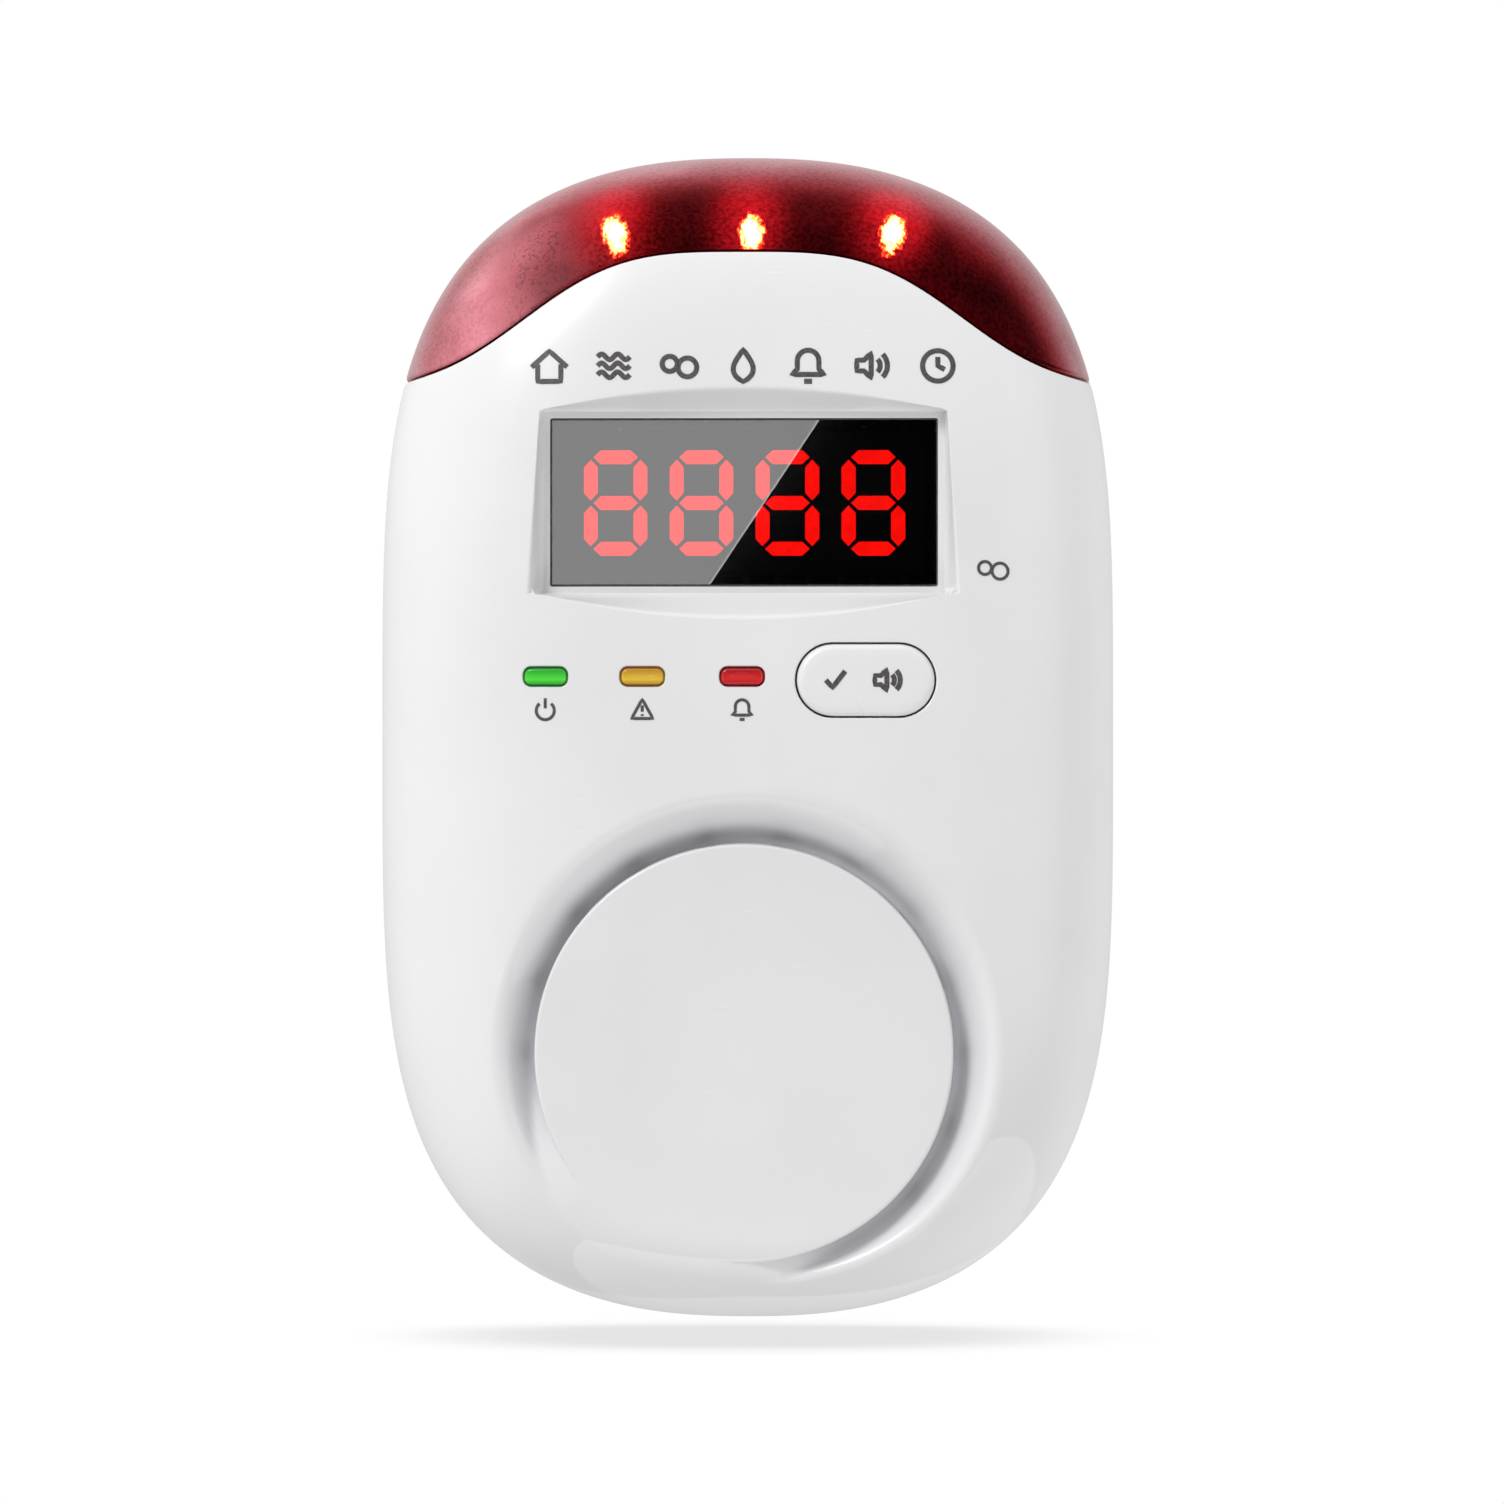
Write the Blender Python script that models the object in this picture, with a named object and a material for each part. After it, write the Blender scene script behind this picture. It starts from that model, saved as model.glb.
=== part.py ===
"""A plug-in carbon monoxide alarm, as separate pieces in metres.

The origin is the centre of the flat rear face, which rests on the wall outlet. +Z is up, +X is to
the right as the user sees the alarm, and the front faces -Y. The plug blades point along +Y.
"""

import math

import bmesh
import bpy
from mathutils import Matrix, Vector

MM = 0.001

# Case: the outline is |x/a|^p + |z/b|^q = 1, and the front dome rises from the parting line.
CASE_WIDTH = 72.8 * MM
CASE_HEIGHT = 115.2 * MM
CASE_DEPTH = 42.0 * MM
OUTLINE_POWER_X = 2.42
OUTLINE_POWER_Z = 3.94
DOME_FLATNESS = 1.7
DOME_POWER = 2.8
CASE_SEGMENTS = 48
DOME_STEPS = 8
WALL = 2.0 * MM
GAP = 0.3 * MM
PARTING_Y = -18.0 * MM
FRONT_BACK_Y = PARTING_Y - GAP / 2
REAR_FRONT_Y = PARTING_Y + GAP / 2
DOME_HEIGHT = CASE_DEPTH + PARTING_Y
FAR = 60.0 * MM  # past every face of the case

# Strobe lens: it sits above a bell curve across the front.
BELL_TOP_Z = 47.5 * MM
BELL_DROP = 12.6 * MM
BELL_WIDTH = 23.5 * MM
BELL_POWER = 3.5
BELL_STEPS = 24
LENS_TONGUE_IN = 2.3 * MM
LENS_TONGUE_WALL = 0.8 * MM
LENS_TONGUE_LAP = 3.0 * MM
LENS_RIB_HEIGHT = 2.0 * MM

# Display window, in a drafted pocket that is flat behind a domed front.
WINDOW_SIZE = Vector((37.7, 1.6, 16.3)) * MM
WINDOW_Z = 22.9 * MM
POCKET_Y = -38.4 * MM
POCKET_LEDGE = 0.7 * MM
POCKET_MOUTH_Y = -41.6 * MM
POCKET_MOUTH_TOP = Vector((19.9, 31.9)) * MM
POCKET_MOUTH_FOOT = Vector((21.2, 13.8)) * MM
POCKET_BULGE = 1.9 * MM
POCKET_STEPS = 8
WINDOW_SEAT = 0.85 * MM
WINDOW_FRAME_X = 23.5 * MM
WINDOW_FRAME_Z = (10.4 * MM, 35.6 * MM)
WINDOW_FRAME_Y = -35.6 * MM

# Sounder disc: a flat round face in the front cover, leaning a little down and to the left. A
# moat runs round it and fades out at the lower left; angles run anticlockwise from +X.
DISC_RADIUS = 20.4 * MM
DISC_CENTRE = Vector((0.0, -38.9, -30.8)) * MM
DISC_SLOPE_X = 0.03
DISC_SLOPE_Z = 0.085
DISC_WALL = 2.0 * MM
DISC_SEGMENTS = 40
CHAMBER_RADIUS = 18.4 * MM
MOAT_DEPTH = 3.2 * MM
MOAT_FLOOR_WIDTH = 0.6 * MM
MOAT_DRAFT = 0.8  # radius gained for each unit of height
MOAT_FLOOR_WALL = 1.6 * MM
MOAT_BACKING_RADIUS = 24.8 * MM
MOAT_FADE_START = (184.0, 222.0)
MOAT_FADE_END = (262.0, 300.0)
PORT_ANGLES = tuple(range(-40, 190, 20))
PORT_WIDTH = 1.6 * MM
PORT_HEIGHTS = (-2.7 * MM, -1.2 * MM)
DISC_FAR = 15.0 * MM  # past the cover on both sides of the disc

# Indicators and self-test button, in one row under the window.
ROW_Z = 5.9 * MM
INDICATORS = (("power", -19.25 * MM), ("fault", -9.8 * MM), ("alarm", -0.1 * MM))
INDICATOR_WIDTH = 4.0 * MM
INDICATOR_HEIGHT = 1.55 * MM
INDICATOR_PROUD = 0.15 * MM
INDICATOR_BACK_Y = -37.2 * MM
BUTTON_CENTRE = Vector((11.9, 5.55)) * MM
BUTTON_WIDTH = 13.4 * MM
BUTTON_HEIGHT = 7.0 * MM
BUTTON_PROUD = 0.3 * MM
BUTTON_STEM_RADIUS = 1.8 * MM
BUTTON_STEM_Y = -35.9 * MM
FLANGE = 0.75 * MM
FLANGE_THICK = 1.0 * MM
BUTTON_TRAVEL = 0.8 * MM
SWITCH_SIZE = Vector((6.0, 3.5, 6.0)) * MM
SWITCH_WELL_RADIUS = 2.0 * MM
SWITCH_WELL_DEPTH = 2.3 * MM
PLUNGER_RADIUS = 1.7 * MM
LAMP_FOOT_RIM = 0.5 * MM
LAMP_FOOT = 1.2 * MM

# Two circuit boards share an outline that clears the screw towers.
BOARD_THICK = 1.6 * MM
FRONT_BOARD_Y = -28.8 * MM
POWER_BOARD_Y = -10.6 * MM
BOARD_CORNERS = ((23.4, 34.0), (23.4, -31.0), (20.4, -34.0), (20.4, -44.0), (14.0, -50.0))
BOARD_SCREW_X = 17.0 * MM
FRONT_BOARD_SCREW_Z = -3.0 * MM
POWER_BOARD_SCREW_Z = 0.0 * MM
BOARD_POST_RADIUS = 2.4 * MM
BOARD_BORE = 1.2 * MM
BOARD_BORE_DEPTH = 6.5 * MM
BOARD_HOLE = 1.5 * MM
BOARD_SCREW_RADIUS = 0.9 * MM
BOARD_SCREW_TIP = 0.3 * MM
BOARD_SCREW_LENGTH = 6.0 * MM
BOARD_SCREW_HEAD_RADIUS = 2.2 * MM
BOARD_SCREW_HEAD = 1.4 * MM

# Case screws, driven from the rear through posts into towers in the front cover.
SCREW_PLACES = ((28.5, 29.0), (-28.5, 29.0), (25.5, -38.5), (-25.5, -38.5))
TOWER_RADIUS = 3.0 * MM
TOWER_BORE = 1.6 * MM
TOWER_BORE_DEPTH = 11.0 * MM
POST_RADIUS = 4.4 * MM
POST_BORE = 1.75 * MM
COUNTERBORE = 3.2 * MM
COUNTERBORE_DEPTH = 8.0 * MM
SCREW_RADIUS = 1.3 * MM
SCREW_HEAD_RADIUS = 2.7 * MM
SCREW_HEAD = 1.8 * MM
SCREW_LENGTH = 17.0 * MM

# Rear cover.
REAR_WALL = 2.2 * MM
REAR_EDGE = 4.0 * MM
REAR_DRAFT = 0.5 * MM
REAR_EDGE_STEPS = 3
LIP_IN = 2.35 * MM
LIP_WALL = 0.9 * MM
LIP_HEIGHT = 2.2 * MM
VENT_COUNT = 6
VENT_PITCH = 3.6 * MM
VENT_WIDTH = 1.6 * MM
VENT_Z = -12.0 * MM
VENT_Y = (-14.5 * MM, -6.5 * MM)
FOOT_VENT_X = (-12.0 * MM, -6.0 * MM, 0.0, 6.0 * MM, 12.0 * MM)

# Plug: two flat blades in an insulating holder.
PLUG_Z = 12.0 * MM
BLADE_PITCH = 12.7 * MM
BLADE = Vector((1.5, 24.5, 6.35)) * MM
BLADE_OUT = 17.5 * MM
BLADE_NOSE = 1.6 * MM
BLADE_HOLE_RADIUS = 1.6 * MM
BLADE_HOLE_Y = 12.0 * MM
BLADE_CLEARANCE = 0.15 * MM
HOLDER_SIZE = Vector((22.0, 0.0, 11.0)) * MM
HOLDER_CORNER = 2.5 * MM
HOLDER_FLANGE = 1.8 * MM
HOLDER_FLANGE_THICK = 1.5 * MM

# Four-digit display.
DISPLAY_SIZE = Vector((35.4, 7.2, 14.0)) * MM
DISPLAY_FRONT_Y = -36.4 * MM
DISPLAY_WALL = 1.0 * MM
DIGIT_X = tuple(step * 8.4 * MM for step in (-1.5, -0.5, 0.5, 1.5))
DIGIT_WIDTH = 6.35 * MM
DIGIT_HEIGHT = 10.45 * MM
STROKE = 1.5 * MM
SEGMENT_GAP = 0.35 * MM
SEGMENT_CLEARANCE = 0.12 * MM

# Sounder on the front board, with its piezo plate inside.
SOUNDER_RADIUS = 14.2 * MM
SOUNDER_BORE = 13.3 * MM
SOUNDER_BACK_Y = -29.1 * MM
SOUNDER_FLOOR = 0.8 * MM
SOUNDER_LEDGE_RADIUS = 11.5 * MM
SOUNDER_LEDGE_Y = -31.5 * MM
SOUNDER_WALL_Y = -33.3 * MM
SOUNDER_FRONT_Y = -34.6 * MM
SOUNDER_HOLE = 2.5 * MM
PIEZO_RADIUS = 13.0 * MM
PIEZO_THICK = 0.4 * MM
CERAMIC_RADIUS = 10.0 * MM

# Strobe lamps stand on their own board behind the lens, a little unevenly spaced.
STROBE_BOARD = (Vector((-20.0, -29.0, 45.2)) * MM, Vector((20.0, -20.0, 46.8)) * MM)
STROBE_LAMP_X = (("left", -12.9 * MM), ("centre", 0.3 * MM), ("right", 14.3 * MM))
STROBE_LAMP_Y = -24.5 * MM
STROBE_LAMP_RADIUS = 1.5 * MM
STROBE_LAMP_HEIGHT = 5.3 * MM
STROBE_SKIRT_RADIUS = 1.8 * MM
STROBE_SKIRT = 0.8 * MM
STROBE_LAMP_LEAN = math.radians(9.0)
BRACKET = (Vector((-6.0, -26.8, 28.0)) * MM, Vector((6.0, -25.2, 44.9)) * MM)

# Gas sensor on the power board.
SENSOR_CENTRE = Vector((0.0, -38.0)) * MM
SENSOR_BASE_RADIUS = 8.4 * MM
SENSOR_BASE_HEIGHT = 4.0 * MM
SENSOR_CHAMFER = 1.0 * MM
SENSOR_CAP_RADIUS = 7.2 * MM
SENSOR_CAP_HEIGHT = 6.0 * MM
SENSOR_CAP_ROUNDING = 2.0 * MM

# Mains supply and chips. A block is its centre and size; the coil sits on the core's middle limb.
POWER_FOOT_Y = POWER_BOARD_Y - GAP
TRANSFORMER_CENTRE = Vector((-12.0, -17.4, 20.0)) * MM
CORE_SIZE = Vector((14.0, 5.0, 13.0)) * MM
CORE_WINDOW_X = 4.0 * MM
CORE_WINDOW_SIZE = Vector((3.6, 6.0, 9.0)) * MM
COIL_SIZE = Vector((10.6, 9.0, 8.2)) * MM
COIL_HOLE_SIZE = Vector((5.0, 5.6, 10.0)) * MM
CAPACITOR_CENTRE = Vector((6.0, 22.0)) * MM
CAPACITOR_RADIUS = 5.0 * MM
CAPACITOR_HEIGHT = 13.5 * MM
CAPACITOR_CHAMFER = 0.4 * MM
FUSE_X = 17.5 * MM
FUSE_LIFT = 2.6 * MM
FUSE_RADIUS = 2.2 * MM
FUSE_ENDS = (12.0 * MM, 24.0 * MM)
VARISTOR_Z = 4.0 * MM
VARISTOR_LIFT = 5.5 * MM
VARISTOR_RADIUS = 4.5 * MM
VARISTOR_FACES = (7.0 * MM, 10.0 * MM)
DRIVER = (Vector((0.0, -26.0, 11.0)) * MM, Vector((8.0, 1.8, 10.0)) * MM)
CONTROLLER = (Vector((-12.25, -12.05, -11.5)) * MM, Vector((7.5, 2.3, 13.0)) * MM)

# Leads run through these points; the second of each pair is a mirror image or stands beside it.
SOUNDER_LEAD = ((-4, -26.5, -45), (-10, -24, -47), (-17, -22, -40), (-18.5, -11.5, -30))
MAINS_WIRE = ((8.1, -5.9, 11), (9, -5.6, 8), (11.5, -6, 3), (12.5, -8.2, -2))
STROBE_LEAD = ((9, -22.5, 44.4), (10.5, -20, 39), (14.5, -15, 34), (16, -11.6, 30.5))
STROBE_LEAD_PITCH = 3.5
LEAD_RADIUS = 0.55 * MM
RIBBON_WIDTH = 10.0 * MM
RIBBON_THICK = 0.8 * MM
RIBBON_Z = -3.0 * MM
RIBBON_BOW = 4.0 * MM
RIBBON_STEPS = 8


# ---------------------------------------------------------------- small tools


def clear_scene():
    for old in list(bpy.data.objects):
        bpy.data.objects.remove(old)


def material(name, colour, roughness, metallic=0.0, alpha=1.0, glow=None):
    made = bpy.data.materials.new(name)
    made.use_nodes = True
    shader = made.node_tree.nodes["Principled BSDF"]
    shader.inputs["Base Color"].default_value = (*colour, 1.0)
    shader.inputs["Roughness"].default_value = roughness
    shader.inputs["Metallic"].default_value = metallic
    shader.inputs["Alpha"].default_value = alpha
    if glow:
        shader.inputs["Emission Color"].default_value = (*glow, 1.0)
        shader.inputs["Emission Strength"].default_value = 1.0
    return made


def object_of(name, mesh_maker, finish=None):
    """A new object from a bmesh, its faces pointing out, with flat and round areas shaded as such."""
    bmesh.ops.recalc_face_normals(mesh_maker, faces=mesh_maker.faces)
    mesh = bpy.data.meshes.new(name)
    mesh_maker.to_mesh(mesh)
    mesh_maker.free()
    mesh.shade_smooth()
    mesh.set_sharp_from_angle(angle=math.radians(35))
    made = bpy.data.objects.new(name, mesh)
    bpy.context.scene.collection.objects.link(made)
    if finish:
        mesh.materials.append(finish)
    return made


def loft(name, rings, finish=None):
    """A closed solid through rings of equal length, with a flat face at each end.

    A ring that is one point makes a pole."""
    maker = bmesh.new()
    rows = [[maker.verts.new(point) for point in ring] for ring in rings]
    for near, far in zip(rows, rows[1:]):
        bridge(maker, near, far)
    for row in (rows[0], rows[-1]):
        if len(row) > 2:
            maker.faces.new(row)
    return object_of(name, maker, finish)


def bridge(maker, near, far):
    count = max(len(near), len(far))
    for i in range(count):
        j = (i + 1) % count
        if len(near) == 1:
            maker.faces.new((near[0], far[j], far[i]))
        elif len(far) == 1:
            maker.faces.new((near[i], near[j], far[0]))
        else:
            maker.faces.new((near[i], near[j], far[j], far[i]))


def at_depth(loop, y):
    """A ring at depth y from a loop of (x, z) points."""
    return [Vector((x, y, z)) for x, z in loop]


def prism(name, loop, y_from, y_to, finish=None):
    return loft(name, [at_depth(loop, y_from), at_depth(loop, y_to)], finish)


def box(name, low, high, finish=None):
    corners = ((low[0], low[2]), (high[0], low[2]), (high[0], high[2]), (low[0], high[2]))
    return prism(name, corners, low[1], high[1], finish)


def block(name, centre, size, finish=None):
    return box(name, centre - size / 2, centre + size / 2, finish)


def circle(x, z, radius, count=24):
    steps = (2 * math.pi * i / count for i in range(count))
    return [(x + radius * math.cos(a), z + radius * math.sin(a)) for a in steps]


def rounded_rectangle(x, z, width, height, corner, steps=4):
    """A loop of (x, z) points; a corner of half the height makes a stadium."""
    loop = []
    quarters = ((1, 1, 0), (-1, 1, 90), (-1, -1, 180), (1, -1, 270))
    for side_x, side_z, start in quarters:
        centre_x = x + side_x * (width / 2 - corner)
        centre_z = z + side_z * (height / 2 - corner)
        for i in range(steps + 1):
            angle = math.radians(start + 90 * i / steps)
            point = (centre_x + corner * math.cos(angle), centre_z + corner * math.sin(angle))
            loop.append(point)
    return loop


def cylinder_y(name, x, z, radius, y_from, y_to, finish=None, count=24):
    return prism(name, circle(x, z, radius, count), y_from, y_to, finish)


def turned(name, x, z, profile, finish=None, count=24):
    """A solid turned about an axis along Y through (x, z); profile is (radius, y) pairs."""
    rings = [at_depth(circle(x, z, radius, count), y) for radius, y in profile]
    return loft(name, rings, finish)


def boolean(target, tool, operation):
    """Adds a Boolean to target; tool becomes a helper that isn't part of the model."""
    step = target.modifiers.new(tool.name, "BOOLEAN")
    step.operation = operation
    step.solver = "EXACT"
    step.object = tool
    tool.hide_render = True
    tool.display_type = "WIRE"
    return target


def cut(target, *tools):
    for tool in tools:
        boolean(target, tool, "DIFFERENCE")
    return target


def add(target, *tools):
    for tool in tools:
        boolean(target, tool, "UNION")
    return target


def keep_inside(target, tool):
    return boolean(target, tool, "INTERSECT")


def set_origin(target, point):
    """Moves the object's origin to point and leaves its shape where it is."""
    target.data.transform(Matrix.Translation(-Vector(point)))
    target.location = point
    return target


# ---------------------------------------------------------------- case shape


def outline(inset=0.0, level=1.0, count=CASE_SEGMENTS):
    """The case outline as (x, z) points; a lower level is a smaller curve further forward."""
    half_x = CASE_WIDTH / 2 - inset
    half_z = CASE_HEIGHT / 2 - inset
    loop = []
    for i in range(count):
        angle = 2 * math.pi * (i + 0.5) / count
        cos, sin = math.cos(angle), math.sin(angle)
        x = half_x * (level * cos * cos) ** (1 / OUTLINE_POWER_X)
        z = half_z * (level * sin * sin) ** (1 / OUTLINE_POWER_Z)
        loop.append((math.copysign(x, cos), math.copysign(z, sin)))
    return loop


def front_y(x, z, inset=0.0):
    """The y of the front dome, moved in by inset, at (x, z)."""
    level = (abs(x) / (CASE_WIDTH / 2 - inset)) ** OUTLINE_POWER_X
    level += (abs(z) / (CASE_HEIGHT / 2 - inset)) ** OUTLINE_POWER_Z
    rise = max(0.0, 1 - level**DOME_FLATNESS) ** (1 / DOME_POWER)
    return PARTING_Y - (DOME_HEIGHT - inset) * rise


def dome(name, inset, back_y):
    """The closed solid behind the front dome moved in by inset, flat at back_y."""
    rings = [at_depth(outline(inset), back_y)]
    for step in range(DOME_STEPS):
        lean = math.pi / 2 * (1 - step / DOME_STEPS)
        level = math.sin(lean) ** (2 / DOME_FLATNESS)
        rise = math.cos(lean) ** (2 / DOME_POWER)
        y = PARTING_Y - (DOME_HEIGHT - inset) * rise
        if y < back_y - GAP / 10:
            rings.append(at_depth(outline(inset, level), y))
    rings.append([Vector((0, PARTING_Y - DOME_HEIGHT + inset, 0))])
    return loft(name, rings)


def bell_z(x):
    """The lower edge of the strobe lens."""
    return BELL_TOP_Z - BELL_DROP * (1 - math.exp(-((abs(x) / BELL_WIDTH) ** BELL_POWER)))


def above_bell(name, shift):
    """A block holding everything above the bell curve moved up by shift."""
    half = CASE_WIDTH / 2 + WALL
    loop = []
    for i in range(BELL_STEPS + 1):
        x = -half + 2 * half * i / BELL_STEPS
        loop.append((x, bell_z(x) + shift))
    loop += [(half, CASE_HEIGHT), (-half, CASE_HEIGHT)]
    return prism(name, loop, -FAR, WALL)


# ---------------------------------------------------------------- sounder disc and moat


def disc_point(radius, angle, height):
    """A point on the leaning disc's own frame; height is along its outward normal."""
    normal = Vector((DISC_SLOPE_X, -1, -DISC_SLOPE_Z)).normalized()
    side = Vector((1, DISC_SLOPE_X, 0)).normalized()
    rise = side.cross(normal) * -1
    across = side * (radius * math.cos(angle)) + rise * (radius * math.sin(angle))
    return DISC_CENTRE + across + normal * height


def disc_ring(radius, height):
    steps = (2 * math.pi * i / DISC_SEGMENTS for i in range(DISC_SEGMENTS))
    return [disc_point(radius, angle, height) for angle in steps]


def disc_turned(name, profile):
    """A solid turned about the disc's axis; profile is (radius, height) pairs."""
    return loft(name, [disc_ring(radius, height) for radius, height in profile])


def moat_radius(height):
    """The radius of the moat's sloping outer wall at a height above the disc."""
    return DISC_RADIUS + MOAT_FLOOR_WIDTH + MOAT_DRAFT * (MOAT_DEPTH + height)


def moat_height(angle):
    """The moat floor's height: full depth for most of the turn, above the disc where it fades."""
    degrees = math.degrees(angle) % 360
    fade = smooth_step(degrees, *MOAT_FADE_START) - smooth_step(degrees, *MOAT_FADE_END)
    return -MOAT_DEPTH + (MOAT_DEPTH + GAP) * fade


def smooth_step(value, start, end):
    share = min(1.0, max(0.0, (value - start) / (end - start)))
    return share * share * (3 - 2 * share)


def moat_ring():
    """The cutter for the moat: a ring with four corners in its cross-section."""
    maker = bmesh.new()
    top = 2 * GAP
    rows = []
    for i in range(DISC_SEGMENTS):
        angle = 2 * math.pi * i / DISC_SEGMENTS
        floor = moat_height(angle)
        corners = ((DISC_RADIUS, floor), (moat_radius(floor), floor))
        corners += ((moat_radius(top), top), (DISC_RADIUS, top))
        rows.append([maker.verts.new(disc_point(radius, angle, height)) for radius, height in corners])
    for near, far in zip(rows, rows[1:] + rows[:1]):
        bridge(maker, near, far)
    return object_of("moat_ring", maker)


def sounder_ports():
    """Slots through the disc's side wall, where the moat is deep."""
    maker = bmesh.new()
    inner, outer = CHAMBER_RADIUS - DISC_WALL, DISC_RADIUS + MOAT_FLOOR_WIDTH / 2
    for degrees in PORT_ANGLES:
        angle = math.radians(degrees)
        rows = []
        for radius in (inner, outer):
            half = math.atan(PORT_WIDTH / 2 / radius)
            corners = [(side * half, height) for side, height in port_corners()]
            points = [disc_point(radius, angle + turn, height) for turn, height in corners]
            rows.append([maker.verts.new(point) for point in points])
        bridge(maker, *rows)
        for row in rows:
            maker.faces.new(row)
    return object_of("sounder_ports", maker)


def port_corners():
    low, high = PORT_HEIGHTS
    return (-1, low), (1, low), (1, high), (-1, high)


# ---------------------------------------------------------------- enclosure


def make_front_cover(finish):
    cover = dome("front_cover", 0.0, FRONT_BACK_Y)
    cover.data.materials.append(finish)
    cut(cover, dome("front_hollow", WALL, REAR_FRONT_Y + WALL))
    cut(cover, above_bell("cover_above_bell", -GAP / 2))
    add_cover_backing(cover)
    cut_window_and_disc(cover)
    cut_control_slots(cover)
    return cover


def add_cover_backing(cover):
    """The walls behind the window and moat, the screw towers and the board posts, with bores."""
    core = dome("cover_core", WALL / 2, FRONT_BACK_Y)
    low = (-WINDOW_FRAME_X, -CASE_DEPTH, WINDOW_FRAME_Z[0])
    high = (WINDOW_FRAME_X, WINDOW_FRAME_Y, WINDOW_FRAME_Z[1])
    add(cover, keep_inside(box("window_frame", low, high), core))
    backing_height = -MOAT_DEPTH - MOAT_FLOOR_WALL
    backing = ((MOAT_BACKING_RADIUS, backing_height), (MOAT_BACKING_RADIUS, DISC_FAR))
    add(cover, keep_inside(disc_turned("moat_backing", backing), core))
    for index, (x, z) in enumerate(SCREW_PLACES):
        tower = cylinder_y(f"tower_{index}", x * MM, z * MM, TOWER_RADIUS, FRONT_BACK_Y, -FAR, count=16)
        add(cover, keep_inside(tower, core))
    post_foot = FRONT_BOARD_Y - GAP
    for name, x, z in board_posts(FRONT_BOARD_SCREW_Z):
        post = cylinder_y(f"board_post_{name}", x, z, BOARD_POST_RADIUS, post_foot, -FAR, count=14)
        add(cover, keep_inside(post, core))
    end_y = FRONT_BACK_Y - TOWER_BORE_DEPTH
    for index, (x, z) in enumerate(SCREW_PLACES):
        cut(cover, cylinder_y(f"tower_bore_{index}", x * MM, z * MM, TOWER_BORE, 0, end_y, count=14))
    end_y = FRONT_BOARD_Y - BOARD_BORE_DEPTH
    for name, x, z in board_posts(FRONT_BOARD_SCREW_Z):
        cut(cover, cylinder_y(f"board_bore_{name}", x, z, BOARD_BORE, 0, end_y, count=10))


def board_posts(z):
    """The name, x and z of the post on each side that holds a board."""
    return ("left", -BOARD_SCREW_X, z), ("right", BOARD_SCREW_X, z)


def cut_window_and_disc(cover):
    cut(cover, window_pocket(), window_opening(), window_seat_opening())
    recess = ((moat_radius(0.0), 0.0), (moat_radius(DISC_FAR), DISC_FAR))
    cut(cover, disc_turned("disc_recess", recess), moat_ring())
    chamber = ((CHAMBER_RADIUS, -DISC_FAR), (CHAMBER_RADIUS, -DISC_WALL))
    cut(cover, disc_turned("sounder_space", chamber), sounder_ports())


def cut_control_slots(cover):
    for name, x in INDICATORS:
        slot = indicator_loop(x, GAP, INDICATOR_HEIGHT / 3 + GAP * 2 / 3, 2)
        cut(cover, prism(f"{name}_slot", slot, -FAR, -CASE_DEPTH / 2))
    cut(cover, prism("button_slot", button_loop(GAP), -FAR, -CASE_DEPTH / 2))


def indicator_loop(x, margin, corner, steps):
    """The outline of the indicator at x, grown by margin."""
    width = INDICATOR_WIDTH + 2 * margin
    height = INDICATOR_HEIGHT + 2 * margin
    return rounded_rectangle(x, ROW_Z, width, height, corner, steps)


def pocket_ring(top, foot, bulge):
    """A loop of four sides; its top and bottom bow outwards by bulge, and corners are (x, z)."""
    loop = []
    for corner, side, bow in ((top, 1, bulge), (foot, -1, -bulge)):
        for i in range(POCKET_STEPS + 1):
            share = side * (1 - 2 * i / POCKET_STEPS)
            loop.append((corner.x * share, corner.y + bow * (1 - share * share)))
    return loop


def window_pocket():
    half_x = WINDOW_SIZE.x / 2 + POCKET_LEDGE
    half_z = WINDOW_SIZE.z / 2 + POCKET_LEDGE
    floor_top = Vector((half_x, WINDOW_Z + half_z))
    floor_foot = Vector((half_x, WINDOW_Z - half_z))
    rings = []
    for share in (0, 1, 2):  # the floor, the mouth, and as far again in front
        top = floor_top.lerp(POCKET_MOUTH_TOP, share)
        foot = floor_foot.lerp(POCKET_MOUTH_FOOT, share)
        y = POCKET_Y + share * (POCKET_MOUTH_Y - POCKET_Y)
        rings.append(at_depth(pocket_ring(top, foot, POCKET_BULGE * share), y))
    return loft("window_pocket", rings)


def window_opening():
    half_x = WINDOW_SIZE.x / 2 + GAP
    half_z = WINDOW_SIZE.z / 2 + GAP
    seat_y = POCKET_Y + WINDOW_SIZE.y + GAP
    low = (-half_x, -FAR, WINDOW_Z - half_z)
    return box("window_opening", low, (half_x, seat_y, WINDOW_Z + half_z))


def window_seat_opening():
    half_x = WINDOW_SIZE.x / 2 - WINDOW_SEAT
    half_z = WINDOW_SIZE.z / 2 - WINDOW_SEAT
    low = (-half_x, -FAR, WINDOW_Z - half_z)
    return box("window_seat_opening", low, (half_x, -CASE_DEPTH / 2, WINDOW_Z + half_z))


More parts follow.
